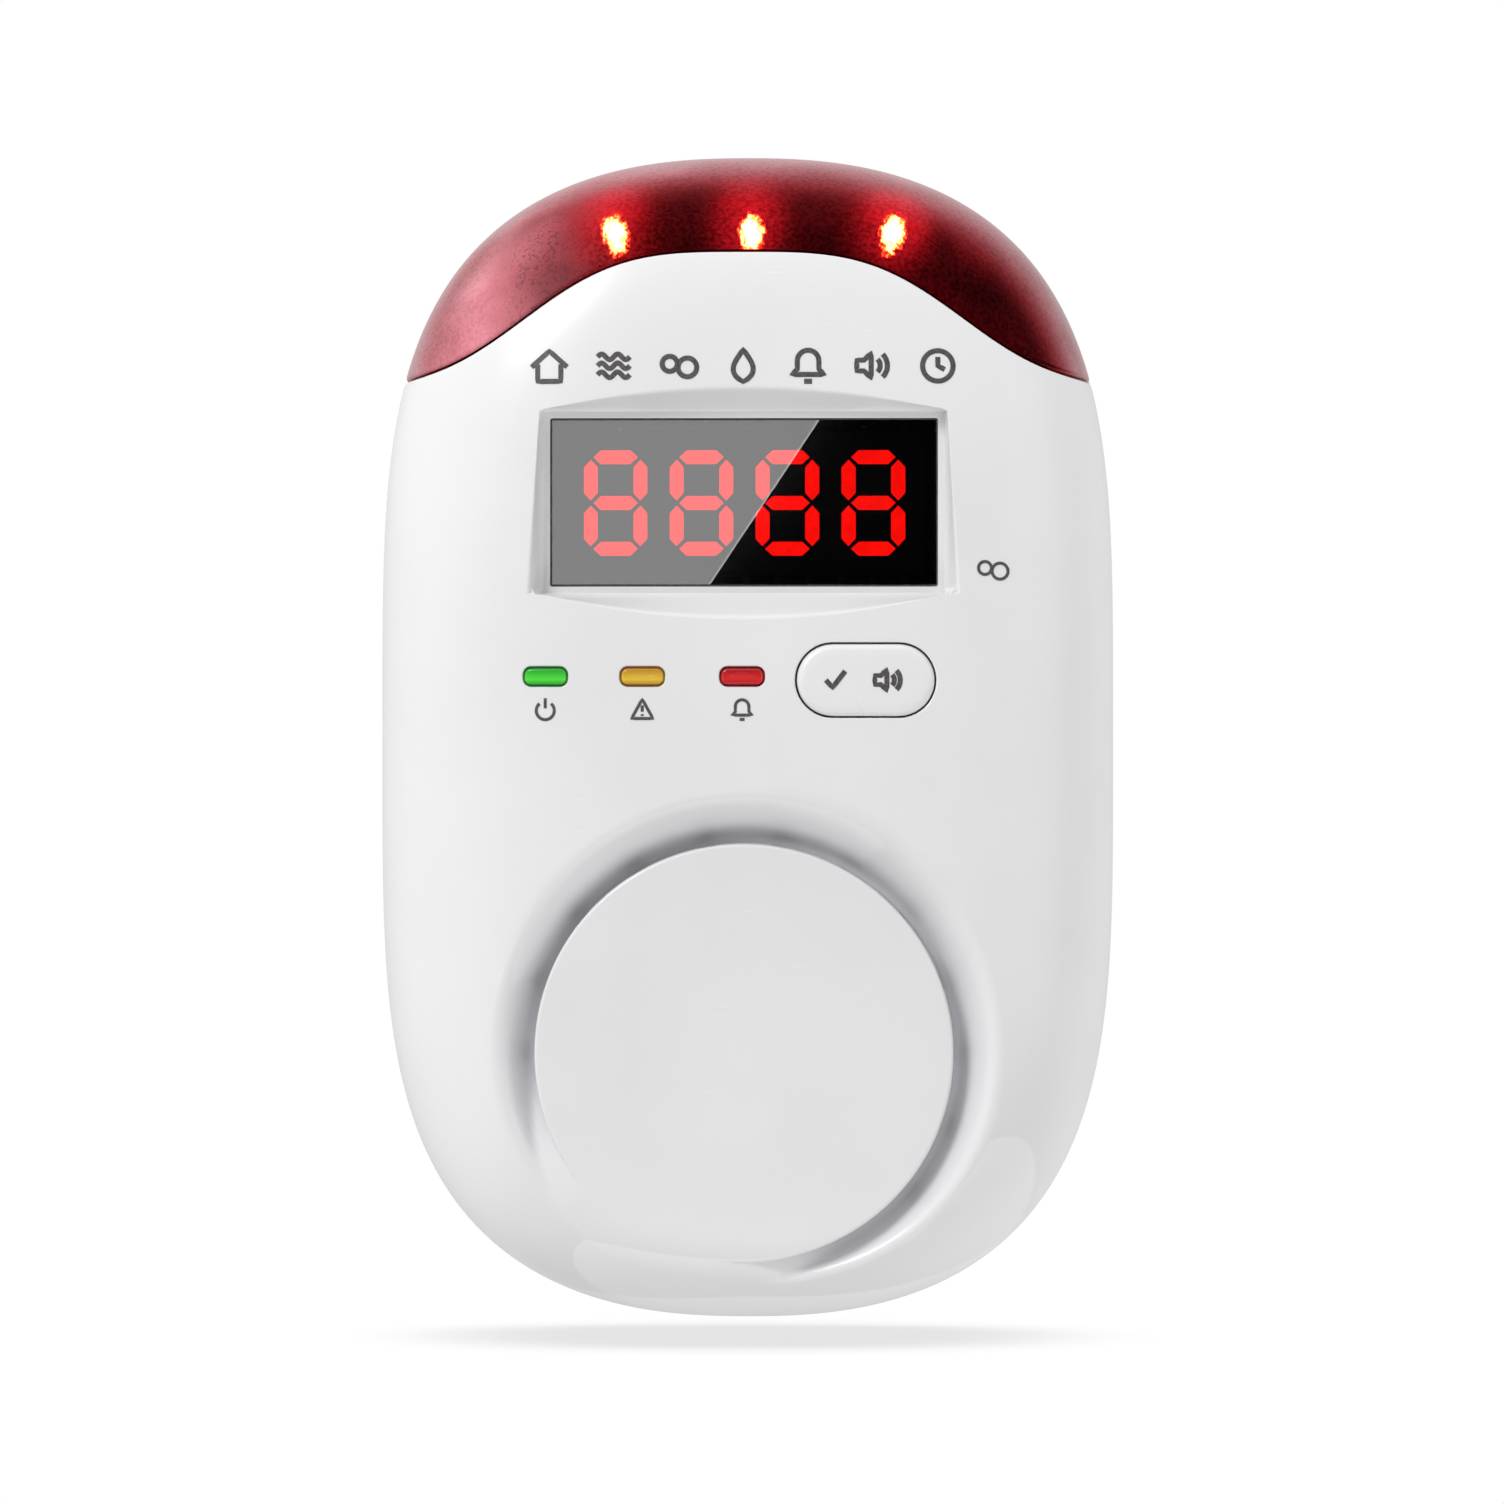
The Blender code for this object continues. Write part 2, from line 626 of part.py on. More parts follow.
def make_strobe_lens(finish):
    lens = dome("strobe_lens", 0.0, FRONT_BACK_Y)
    lens.data.materials.append(finish)
    cut(lens, dome("lens_hollow", WALL, REAR_FRONT_Y + WALL))
    keep_inside(lens, above_bell("lens_above_bell", GAP / 2))

    inner = LENS_TONGUE_IN + LENS_TONGUE_WALL
    tongue = dome("lens_tongue", LENS_TONGUE_IN, FRONT_BACK_Y - LIP_HEIGHT - GAP)
    cut(tongue, dome("tongue_hollow", inner, REAR_FRONT_Y))
    keep_inside(tongue, above_bell("tongue_above_bell", -LENS_TONGUE_LAP))
    rib = dome("lens_rib", WALL / 2, FRONT_BACK_Y - LIP_HEIGHT - 2 * GAP)
    cut(rib, dome("rib_hollow", inner - GAP / 2, REAR_FRONT_Y))
    keep_inside(rib, above_bell("rib_above_bell", GAP))
    cut(rib, above_bell("rib_top", LENS_RIB_HEIGHT))
    cut(tongue, above_bell("tongue_top", LENS_RIB_HEIGHT - GAP))
    return add(lens, rib, tongue)


def rear_rings(inset, rear_y, edge):
    """Rings from the parting line back to a rear face with a rounded edge."""
    rings = [at_depth(outline(inset), REAR_FRONT_Y)]
    for step in range(REAR_EDGE_STEPS + 1):
        turn = math.pi / 2 * step / REAR_EDGE_STEPS
        y = rear_y - edge * (1 - math.sin(turn))
        rings.append(at_depth(outline(inset + REAR_DRAFT + edge * (1 - math.cos(turn))), y))
    return rings


def make_rear_cover(finish):
    cover = loft("rear_cover", rear_rings(0.0, 0.0, REAR_EDGE), finish)
    hollow_rings = rear_rings(WALL, -REAR_WALL, REAR_EDGE - WALL)
    hollow_rings[0] = at_depth(outline(WALL), PARTING_Y - WALL)
    cut(cover, loft("rear_hollow", hollow_rings))
    add_rear_lip(cover)
    add_rear_posts(cover)
    cut_rear_bores(cover)
    cut(cover, prism("holder_opening", holder_loop(GAP / 2), FAR, -REAR_WALL - WALL))
    cut(cover, side_vents(), foot_vents())
    return cover


def add_rear_lip(cover):
    """A lip that laps inside the front cover."""
    lip_front = REAR_FRONT_Y - LIP_HEIGHT
    lip_back = REAR_FRONT_Y + LIP_HEIGHT
    lip = prism("lip", outline(LIP_IN), lip_front, lip_back)
    cut(lip, prism("lip_hollow", outline(LIP_IN + LIP_WALL), lip_front - WALL, lip_back + WALL))
    root = prism("lip_root", outline(WALL / 2), REAR_FRONT_Y + GAP, lip_back)
    cut(root, prism("root_hollow", outline(LIP_IN + LIP_WALL / 2), lip_front, lip_back + WALL))
    add(cover, root, lip)


def add_rear_posts(cover):
    """The case screws' posts and the two posts that carry the power board."""
    limit = loft("rear_limit", rear_rings(WALL / 2, -REAR_WALL / 2, REAR_EDGE - WALL / 2))
    for index, (x, z) in enumerate(SCREW_PLACES):
        post = cylinder_y(f"post_{index}", x * MM, z * MM, POST_RADIUS, 0, REAR_FRONT_Y + GAP, count=16)
        add(cover, keep_inside(post, limit))
    foot_y, top_y = -REAR_WALL / 2, POWER_BOARD_Y + BOARD_THICK + GAP
    for name, x, z in board_posts(POWER_BOARD_SCREW_Z):
        add(cover, cylinder_y(f"power_post_{name}", x, z, BOARD_POST_RADIUS, foot_y, top_y, count=14))


def cut_rear_bores(cover):
    for index, (x, z) in enumerate(SCREW_PLACES):
        x, z = x * MM, z * MM
        head = cylinder_y(f"counterbore_{index}", x, z, COUNTERBORE, FAR, -COUNTERBORE_DEPTH, count=18)
        bore = cylinder_y(f"post_bore_{index}", x, z, POST_BORE, FAR, -FAR, count=14)
        cut(cover, head, bore)
    for name, x, z in board_posts(POWER_BOARD_SCREW_Z):
        cut(cover, cylinder_y(f"power_bore_{name}", x, z, BOARD_BORE, -2 * WALL, -FAR, count=10))


def side_vents():
    """Slots through both side walls, low on the case where they clear the screw posts."""
    maker = bmesh.new()
    depth = VENT_Y[1] - VENT_Y[0]
    for side in (-1, 1):
        for index in range(VENT_COUNT):
            z = VENT_Z + (index - (VENT_COUNT - 1) / 2) * VENT_PITCH
            place = Matrix.Translation((side * CASE_WIDTH / 2, VENT_Y[0] + depth / 2, z))
            size = Matrix.Diagonal((8 * MM, depth, VENT_WIDTH, 1))
            bmesh.ops.create_cube(maker, size=1, matrix=place @ size)
    return object_of("side_vents", maker)


def foot_vents():
    maker = bmesh.new()
    depth = VENT_Y[1] - VENT_Y[0]
    for x in FOOT_VENT_X:
        place = Matrix.Translation((x, VENT_Y[0] + depth / 2, -CASE_HEIGHT / 2))
        size = Matrix.Diagonal((VENT_WIDTH, depth, 10 * MM, 1))
        bmesh.ops.create_cube(maker, size=1, matrix=place @ size)
    return object_of("foot_vents", maker)


def make_window(finish):
    low = Vector((-WINDOW_SIZE.x / 2, POCKET_Y, WINDOW_Z - WINDOW_SIZE.z / 2))
    return box("display_window", low, low + WINDOW_SIZE, finish)


# ---------------------------------------------------------------- controls and indicators


def front_ring(loop, proud):
    """A loop of (x, z) points laid on the front dome and raised by proud."""
    return [Vector((x, front_y(x, z) - proud, z)) for x, z in loop]


def button_loop(margin):
    """The button's stadium outline, grown by margin."""
    width = BUTTON_WIDTH + 2 * margin
    height = BUTTON_HEIGHT + 2 * margin
    return rounded_rectangle(BUTTON_CENTRE.x, BUTTON_CENTRE.y, width, height, height / 2, steps=6)


def flange_y(x, z):
    """The front of a flange that sits just behind the cover's wall at (x, z)."""
    return front_y(x, z, WALL) + GAP


def make_button(finish):
    x, z = BUTTON_CENTRE
    wide = button_loop(FLANGE)
    narrow = button_loop(-2 * GAP)
    seat = max(flange_y(px, pz) for px, pz in wide)
    cap = loft(
        "self_test_button",
        [
            at_depth(button_loop(0.0), seat + FLANGE_THICK / 2),
            front_ring(button_loop(0.0), BUTTON_PROUD - GAP),
            front_ring(narrow, BUTTON_PROUD),
        ],
        finish,
    )
    add(cap, prism("button_flange", wide, seat + FLANGE_THICK, seat))
    add(cap, cylinder_y("button_stem", x, z, BUTTON_STEM_RADIUS, BUTTON_STEM_Y, seat, count=16))
    return set_origin(cap, (x, front_y(x, z), z))


def make_tact_switch(body_finish, plunger_finish):
    x, z = BUTTON_CENTRE
    back_y = FRONT_BOARD_Y - GAP
    centre = Vector((x, back_y - SWITCH_SIZE.y / 2, z))
    body = block("tact_switch_body", centre, SWITCH_SIZE, body_finish)
    well_y = back_y - SWITCH_SIZE.y + SWITCH_WELL_DEPTH
    cut(body, cylinder_y("plunger_well", x, z, SWITCH_WELL_RADIUS, -FAR, well_y, count=16))
    foot_y, tip_y = well_y - BUTTON_TRAVEL - GAP, BUTTON_STEM_Y + GAP
    plunger = cylinder_y("tact_switch_plunger", x, z, PLUNGER_RADIUS, foot_y, tip_y, plunger_finish, 16)
    return body, set_origin(plunger, (x, tip_y, z))


def make_light_pipe(name, x, finish):
    corner = INDICATOR_HEIGHT / 3
    loop = indicator_loop(x, 0.0, corner, 3)
    top = indicator_loop(x, -GAP, corner / 2, 3)
    rings = [at_depth(loop, INDICATOR_BACK_Y), front_ring(loop, 0.0), front_ring(top, INDICATOR_PROUD)]
    pipe = loft(f"{name}_light_pipe", rings, finish)
    wide = indicator_loop(x, FLANGE, corner, 2)
    seat = max(flange_y(px, pz) for px, pz in wide)
    return add(pipe, prism(f"{name}_flange", wide, seat + FLANGE_THICK, seat))


def make_indicator_lamp(name, x, finish):
    """The lamp that shines into a light pipe, on its foot."""
    half_x, half_z = INDICATOR_WIDTH / 2, INDICATOR_HEIGHT / 2
    foot_y = FRONT_BOARD_Y - GAP
    tip_y = INDICATOR_BACK_Y + GAP
    low = (x - half_x, tip_y, ROW_Z - half_z)
    lamp = box(f"{name}_lamp", low, (x + half_x, foot_y, ROW_Z + half_z), finish)
    half_x, half_z = half_x + LAMP_FOOT_RIM, half_z + LAMP_FOOT_RIM
    low = (x - half_x, foot_y - LAMP_FOOT, ROW_Z - half_z)
    return add(lamp, box(f"{name}_lamp_foot", low, (x + half_x, foot_y - GAP / 3, ROW_Z + half_z)))


# ---------------------------------------------------------------- display


def segment_loops(x, margin):
    """The seven bars of one digit as hexagons, each grown by margin."""
    half = STROKE / 2
    reach_x = DIGIT_WIDTH / 2 - half
    reach_z = DIGIT_HEIGHT / 2 - half
    bars = [((-reach_x, z), (reach_x, z)) for z in (-reach_z, 0.0, reach_z)]
    for side in (-reach_x, reach_x):
        bars += [((side, -reach_z), (side, 0.0)), ((side, 0.0), (side, reach_z))]
    loops = []
    for start, end in bars:
        start, end = Vector(start), Vector(end)
        along = (end - start).normalized()
        across = Vector((-along.y, along.x)) * (half - SEGMENT_GAP / 2 + margin)
        start, end = start + along * (SEGMENT_GAP - margin), end - along * (SEGMENT_GAP - margin)
        points = [start, start + along * half - across, end - along * half - across]
        points += [end, end - along * half + across, start + along * half + across]
        loops.append([(x + point.x, WINDOW_Z + point.y) for point in points])
    return loops


def bar_blocks(name, margin, y_from, y_to):
    """All 28 bars as one helper of separate hexagonal prisms."""
    maker = bmesh.new()
    for digit_x in DIGIT_X:
        for loop in segment_loops(digit_x, margin):
            rows = [[maker.verts.new(point) for point in at_depth(loop, y)] for y in (y_from, y_to)]
            bridge(maker, *rows)
            for row in rows:
                maker.faces.new(row)
    return object_of(name, maker)


def make_display(shell_finish, bar_finish):
    """A black shell with 28 windows, and the red light guide whose bars fill them."""
    half_x, half_z = DISPLAY_SIZE.x / 2, DISPLAY_SIZE.z / 2
    back_y = DISPLAY_FRONT_Y + DISPLAY_SIZE.y
    low = (-half_x, DISPLAY_FRONT_Y, WINDOW_Z - half_z)
    shell = box("display_shell", low, (half_x, back_y, WINDOW_Z + half_z), shell_finish)
    inner_x, inner_z = half_x - DISPLAY_WALL, half_z - DISPLAY_WALL
    low = (-inner_x, DISPLAY_FRONT_Y + DISPLAY_WALL, WINDOW_Z - inner_z)
    cut(shell, box("display_hollow", low, (inner_x, 0, WINDOW_Z + inner_z)))
    cut(shell, bar_blocks("bar_windows", SEGMENT_CLEARANCE, -FAR, back_y - DISPLAY_WALL))

    face_y = DISPLAY_FRONT_Y + DISPLAY_WALL + GAP
    inner_x, inner_z = inner_x - GAP, inner_z - GAP
    low = (-inner_x, face_y, WINDOW_Z - inner_z)
    guide = box("display_light_guide", low, (inner_x, back_y - GAP, WINDOW_Z + inner_z), bar_finish)
    add(guide, bar_blocks("bars", 0.0, DISPLAY_FRONT_Y, face_y + DISPLAY_WALL))
    return shell, guide


# ---------------------------------------------------------------- boards and what they carry


def board_loop():
    right = [(x * MM, z * MM) for x, z in BOARD_CORNERS]
    return right + [(-x, z) for x, z in reversed(right)]


def make_boards(finish):
    front = prism("display_board", board_loop(), FRONT_BOARD_Y, FRONT_BOARD_Y + BOARD_THICK, finish)
    power = prism("power_board", board_loop(), POWER_BOARD_Y, POWER_BOARD_Y + BOARD_THICK, finish)
    for board, screw_z in ((front, FRONT_BOARD_SCREW_Z), (power, POWER_BOARD_SCREW_Z)):
        for name, x, z in board_posts(screw_z):
            cut(board, cylinder_y(f"{board.name}_hole_{name}", x, z, BOARD_HOLE, 0, -FAR, count=12))
    return front, power


def make_sounder(housing_finish, brass, ceramic_finish):
    """A black cup with a piezo plate clamped between its ledge and its lid."""
    z = DISC_CENTRE.z
    wall = (SOUNDER_BACK_Y, SOUNDER_WALL_Y)
    housing = cylinder_y("sounder_housing", 0, z, SOUNDER_RADIUS, *wall, housing_finish, 32)
    floor_y = SOUNDER_BACK_Y - SOUNDER_FLOOR
    cut(housing, cylinder_y("sounder_chamber", 0, z, SOUNDER_LEDGE_RADIUS, floor_y, -FAR, count=32))
    cut(housing, cylinder_y("sounder_bore", 0, z, SOUNDER_BORE, SOUNDER_LEDGE_Y, -FAR, count=32))
    plate_y = SOUNDER_LEDGE_Y - GAP
    plate = cylinder_y("piezo_plate", 0, z, PIEZO_RADIUS, plate_y, plate_y - PIEZO_THICK, brass, 32)
    disc_y = plate_y + GAP
    disc = cylinder_y("piezo_ceramic", 0, z, CERAMIC_RADIUS, disc_y, disc_y + GAP, ceramic_finish, 28)

    lid_y = SOUNDER_WALL_Y - GAP
    rim = SOUNDER_BORE - GAP
    profile = ((rim, plate_y - PIEZO_THICK - GAP), (rim, lid_y), (SOUNDER_RADIUS, lid_y))
    profile += ((SOUNDER_RADIUS, SOUNDER_FRONT_Y),)
    lid = turned("sounder_lid", 0, z, profile, housing_finish, 32)
    cut(lid, cylinder_y("lid_hollow", 0, z, SOUNDER_LEDGE_RADIUS, 0, lid_y, count=28))
    cut(lid, cylinder_y("lid_hole", 0, z, SOUNDER_HOLE, 0, -FAR, count=16))
    return housing, plate, disc, lid


def make_gas_sensor(base_finish, cap_finish):
    x, z = SENSOR_CENTRE
    top_y = POWER_FOOT_Y - SENSOR_BASE_HEIGHT
    profile = [(SENSOR_BASE_RADIUS, POWER_FOOT_Y), (SENSOR_BASE_RADIUS, top_y + SENSOR_CHAMFER)]
    profile.append((SENSOR_BASE_RADIUS - SENSOR_CHAMFER, top_y))
    base = turned("gas_sensor_base", x, z, profile, base_finish)

    foot_y = top_y - GAP
    straight_y = foot_y - SENSOR_CAP_HEIGHT
    profile = [(SENSOR_CAP_RADIUS, foot_y), (SENSOR_CAP_RADIUS, straight_y)]
    for turn in (30, 60):
        angle = math.radians(turn)
        inward = SENSOR_CAP_ROUNDING * (1 - math.cos(angle))
        profile.append((SENSOR_CAP_RADIUS - inward, straight_y - SENSOR_CAP_ROUNDING * math.sin(angle)))
    return base, turned("gas_sensor_cap", x, z, profile, cap_finish)


def make_transformer(core_finish, tape):
    """A ferrite core with two windows, and the wound coil on the limb between them."""
    core = block("transformer_core", TRANSFORMER_CENTRE, CORE_SIZE, core_finish)
    for name, side in (("left", -1), ("right", 1)):
        middle = TRANSFORMER_CENTRE + Vector((side * CORE_WINDOW_X, 0, 0))
        cut(core, block(f"core_window_{name}", middle, CORE_WINDOW_SIZE))
    coil = block("transformer_coil", TRANSFORMER_CENTRE, COIL_SIZE, tape)
    return core, cut(coil, block("coil_hole", TRANSFORMER_CENTRE, COIL_HOLE_SIZE))


def make_supply_parts(can, glass, blue):
    """The capacitor, fuse and varistor that stand on the power board."""
    x, z = CAPACITOR_CENTRE
    top_y = POWER_FOOT_Y - CAPACITOR_HEIGHT
    profile = [(CAPACITOR_RADIUS, POWER_FOOT_Y), (CAPACITOR_RADIUS, top_y + CAPACITOR_CHAMFER)]
    profile.append((CAPACITOR_RADIUS - CAPACITOR_CHAMFER, top_y))
    capacitor = turned("filter_capacitor", x, z, profile, can)
    loop = circle(FUSE_X, POWER_FOOT_Y - FUSE_LIFT, FUSE_RADIUS, 14)
    fuse = loft("fuse", [[Vector((px, py, pz)) for px, py in loop] for pz in FUSE_ENDS], glass)
    loop = circle(POWER_FOOT_Y - VARISTOR_LIFT, VARISTOR_Z, VARISTOR_RADIUS, 20)
    rings = [[Vector((px, py, pz)) for py, pz in loop] for px in VARISTOR_FACES]
    return capacitor, fuse, loft("varistor", rings, blue)


# ---------------------------------------------------------------- strobe


def make_strobe(board_finish, lamp_finish, bracket_finish):
    made = [box("strobe_board", *STROBE_BOARD, board_finish)]
    made.append(box("strobe_bracket", *BRACKET, bracket_finish))
    top_z = STROBE_BOARD[1].z + GAP * 2
    radius = STROBE_LAMP_RADIUS
    straight = STROBE_LAMP_HEIGHT - radius
    profile = [(STROBE_SKIRT_RADIUS, 0.0), (STROBE_SKIRT_RADIUS, STROBE_SKIRT)]
    profile += [(radius, STROBE_SKIRT), (radius, straight)]
    for turn in (30, 60):
        angle = math.radians(turn)
        profile.append((radius * math.cos(angle), straight + radius * math.sin(angle)))
    profile.append((0.0, STROBE_LAMP_HEIGHT))
    for name, x in STROBE_LAMP_X:
        lean = STROBE_LAMP_LEAN * (x > 0) - STROBE_LAMP_LEAN * (x < 0)
        turn = Matrix.Rotation(lean, 3, "Y")
        foot = Vector((x, STROBE_LAMP_Y, top_z))
        rings = []
        for ring_radius, height in profile:
            loop = circle(0, 0, ring_radius, 14) if ring_radius else [(0.0, 0.0)]
            rings.append([foot + turn @ Vector((px, py, height)) for px, py in loop])
        made.append(loft(f"strobe_lamp_{name}", rings, lamp_finish))
    return made


# ---------------------------------------------------------------- plug


def holder_loop(margin):
    width = HOLDER_SIZE.x + 2 * margin
    height = HOLDER_SIZE.z + 2 * margin
    return rounded_rectangle(0, PLUG_Z, width, height, HOLDER_CORNER + margin)


def make_plug(metal, holder_finish):
    """Two flat blades that pass through a flanged insulating holder."""
    holder = prism("blade_holder", holder_loop(0.0), 0.0, -REAR_WALL - WALL, holder_finish)
    flange_front = -REAR_WALL - GAP
    flange_back = flange_front - HOLDER_FLANGE_THICK
    add(holder, prism("holder_flange", holder_loop(HOLDER_FLANGE), flange_front, flange_back))
    blades = []
    for name, side in (("live_blade", 1), ("neutral_blade", -1)):
        x = side * BLADE_PITCH / 2
        half_x, half_z = BLADE.x / 2, BLADE.z / 2
        slot_x, slot_z = half_x + BLADE_CLEARANCE, half_z + BLADE_CLEARANCE
        slot_low = (x - slot_x, -FAR, PLUG_Z - slot_z)
        cut(holder, box(f"{name}_slot", slot_low, (x + slot_x, FAR, PLUG_Z + slot_z)))
        blades.append(make_blade(name, x, metal))
    return holder, *blades


def make_blade(name, x, metal):
    half_x, half_z = BLADE.x / 2, BLADE.z / 2
    nose = BLADE_NOSE
    back_y = BLADE_OUT - BLADE.y
    side = [(back_y, -half_z), (BLADE_OUT - nose, -half_z), (BLADE_OUT, -half_z + nose)]
    side += [(BLADE_OUT, half_z - nose), (BLADE_OUT - nose, half_z), (back_y, half_z)]
    rings = [[Vector((px, y, PLUG_Z + z)) for y, z in side] for px in (x - half_x, x + half_x)]
    blade = loft(name, rings, metal)
    hole = circle(BLADE_HOLE_Y, 0.0, BLADE_HOLE_RADIUS, 14)
    rings = [[Vector((px, y, PLUG_Z + z)) for y, z in hole] for px in (x - 2 * half_x, x + 2 * half_x)]
    return cut(blade, loft(f"{name}_hole", rings))


# ---------------------------------------------------------------- screws and leads


def make_screw(name, x, z, head_y, radius, head_radius, head, length, metal):
    """A pan-head screw driven towards -Y, with a cross recess."""
    shank_y = head_y - head
    profile = (
        (head_radius * 0.75, head_y),
        (head_radius, head_y - head * 0.4),
        (head_radius, shank_y),
        (radius, shank_y),
        (radius, shank_y - length + radius),
        (radius * 0.3, shank_y - length),
    )
    screw = turned(name, x, z, profile, metal, 16)
    arm, width = head_radius * 0.6, head_radius * 0.16
    deep_y = head_y - head * 0.6
    for suffix, reach_x, reach_z in (("a", arm, width), ("b", width, arm)):
        low = (x - reach_x, deep_y, z - reach_z)
        cut(screw, box(f"{name}_recess_{suffix}", low, (x + reach_x, FAR, z + reach_z)))
    return screw


def make_screws(metal):
    head_y = -COUNTERBORE_DEPTH + GAP + SCREW_HEAD
    for index, (x, z) in enumerate(SCREW_PLACES):
        make_screw(
            f"case_screw_{index + 1}", x * MM, z * MM, head_y,
            SCREW_RADIUS, SCREW_HEAD_RADIUS, SCREW_HEAD, SCREW_LENGTH, metal,
        )


def make_board_screw(name, x, z, seat_y, direction, metal):
    """A small screw whose head rests just off seat_y; direction is the way its point goes."""
    near = seat_y - direction * GAP
    tip = near + direction * BOARD_SCREW_LENGTH
    profile = (
        (BOARD_SCREW_HEAD_RADIUS, near - direction * BOARD_SCREW_HEAD),
        (BOARD_SCREW_HEAD_RADIUS, near),
        (BOARD_SCREW_RADIUS, near),
        (BOARD_SCREW_RADIUS, tip - direction * BOARD_SCREW_RADIUS),
        (BOARD_SCREW_TIP, tip),
    )
    return turned(name, x, z, profile, metal, 12)


def make_lead(name, points, finish):
    """A round insulated wire through points."""
    curve = bpy.data.curves.new(name, "CURVE")
    curve.dimensions = "3D"
    curve.bevel_depth = LEAD_RADIUS
    curve.bevel_resolution = 1
    curve.resolution_u = 4
    curve.use_fill_caps = True
    spline = curve.splines.new("BEZIER")
    spline.bezier_points.add(len(points) - 1)
    for knot, point in zip(spline.bezier_points, points):
        knot.co = Vector(point) * MM
        knot.handle_left_type = knot.handle_right_type = "AUTO"
    curve.materials.append(finish)
    made = bpy.data.objects.new(name, curve)
    bpy.context.scene.collection.objects.link(made)
    return made


def make_ribbon(finish):
    """The flat cable that joins the two boards, bowed upwards between them."""
    start, end = FRONT_BOARD_Y + BOARD_THICK + GAP, POWER_BOARD_Y - GAP
    half = RIBBON_THICK / 2
    rings = []
    for step in range(RIBBON_STEPS + 1):
        share = step / RIBBON_STEPS
        y = start + (end - start) * share
        z = RIBBON_Z + RIBBON_BOW * math.sin(math.pi * share)
        x = RIBBON_WIDTH / 2
        corners = ((-x, z - half), (x, z - half), (x, z + half), (-x, z + half))
        rings.append([Vector((px, y, pz)) for px, pz in corners])
    return loft("ribbon_cable", rings, finish)


def shifted(points, scale, step):
    """Points with each x scaled, then moved by step."""
    return [(x * scale + step, y, z) for x, y, z in points]


def make_leads(red, black):
    """Leads to the sounder, up to the strobe board, and from the plug blades to the power board."""
    make_lead("sounder_lead_red", SOUNDER_LEAD, red)
    make_lead("sounder_lead_black", shifted(SOUNDER_LEAD, -1, 0), black)
    make_lead("strobe_lead_red", STROBE_LEAD, red)
    make_lead("strobe_lead_black", shifted(STROBE_LEAD, 1, STROBE_LEAD_PITCH), black)
    make_lead("live_wire", MAINS_WIRE, black)
    make_lead("neutral_wire", shifted(MAINS_WIRE, -1, 0), red)


# ---------------------------------------------------------------- the whole alarm


def main():
    clear_scene()
    white = material("white_plastic", (0.86, 0.86, 0.87), 0.32)
    red_lens = material("red_lens", (0.55, 0.02, 0.03), 0.15, alpha=0.6)
    smoked = material("smoked_window", (0.01, 0.01, 0.01), 0.05, alpha=0.7)
    button = material("button_plastic", (0.84, 0.84, 0.85), 0.35)
    black = material("black_plastic", (0.02, 0.02, 0.02), 0.5)
    bars = material("red_bars", (0.9, 0.02, 0.01), 0.3, glow=(1.0, 0.0, 0.0))
    board = material("circuit_board", (0.02, 0.16, 0.07), 0.4)
    steel = material("zinc_steel", (0.62, 0.62, 0.6), 0.3, metallic=1.0)
    brass = material("brass", (0.75, 0.55, 0.25), 0.3, metallic=1.0)
    ceramic = material("ceramic", (0.8, 0.78, 0.72), 0.5)
    lamp = material("clear_lamp", (1.0, 0.75, 0.4), 0.1, glow=(1.0, 0.6, 0.2))

    make_front_cover(white)
    make_rear_cover(white)
    make_strobe_lens(red_lens)
    make_window(smoked)
    make_button(button)
    make_tact_switch(black, button)
    colours = {"power": (0.1, 0.75, 0.15), "fault": (0.85, 0.6, 0.1), "alarm": (0.75, 0.05, 0.06)}
    for name, x in INDICATORS:
        pipe_finish = material(f"{name}_pipe", colours[name], 0.2)
        lamp_finish = material(f"{name}_lamp", colours[name], 0.2, glow=colours[name])
        make_light_pipe(name, x, pipe_finish)
        make_indicator_lamp(name, x, lamp_finish)
    make_display(black, bars)
    make_boards(board)
    make_sounder(black, brass, ceramic)
    make_gas_sensor(black, steel)
    make_transformer(
        material("ferrite", (0.12, 0.12, 0.12), 0.6), material("yellow_tape", (0.85, 0.7, 0.1), 0.4)
    )
    make_supply_parts(
        can=material("capacitor_sleeve", (0.05, 0.06, 0.2), 0.3),
        glass=material("fuse_glass", (0.8, 0.85, 0.85), 0.1),
        blue=material("blue_resin", (0.05, 0.15, 0.5), 0.4),
    )
    block("display_driver", *DRIVER, black)
    block("microcontroller", *CONTROLLER, black)
    make_strobe(board, lamp, black)
    make_plug(brass, white)
    make_screws(steel)
    front_seat = FRONT_BOARD_Y + BOARD_THICK
    for name, side in (("left", -1), ("right", 1)):
        x = side * BOARD_SCREW_X
        make_board_screw(f"display_board_screw_{name}", x, FRONT_BOARD_SCREW_Z, front_seat, -1, steel)
        make_board_screw(f"power_board_screw_{name}", x, POWER_BOARD_SCREW_Z, POWER_BOARD_Y, 1, steel)
    make_ribbon(material("grey_ribbon", (0.45, 0.45, 0.47), 0.5))
    make_leads(
        red=material("red_insulation", (0.6, 0.02, 0.02), 0.4),
        black=material("black_insulation", (0.03, 0.03, 0.03), 0.4),
    )


main()
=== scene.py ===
import math

import bmesh
import bpy
import numpy as np
from mathutils import Matrix, Vector
from mathutils.geometry import delaunay_2d_cdt
from mathutils.kdtree import KDTree


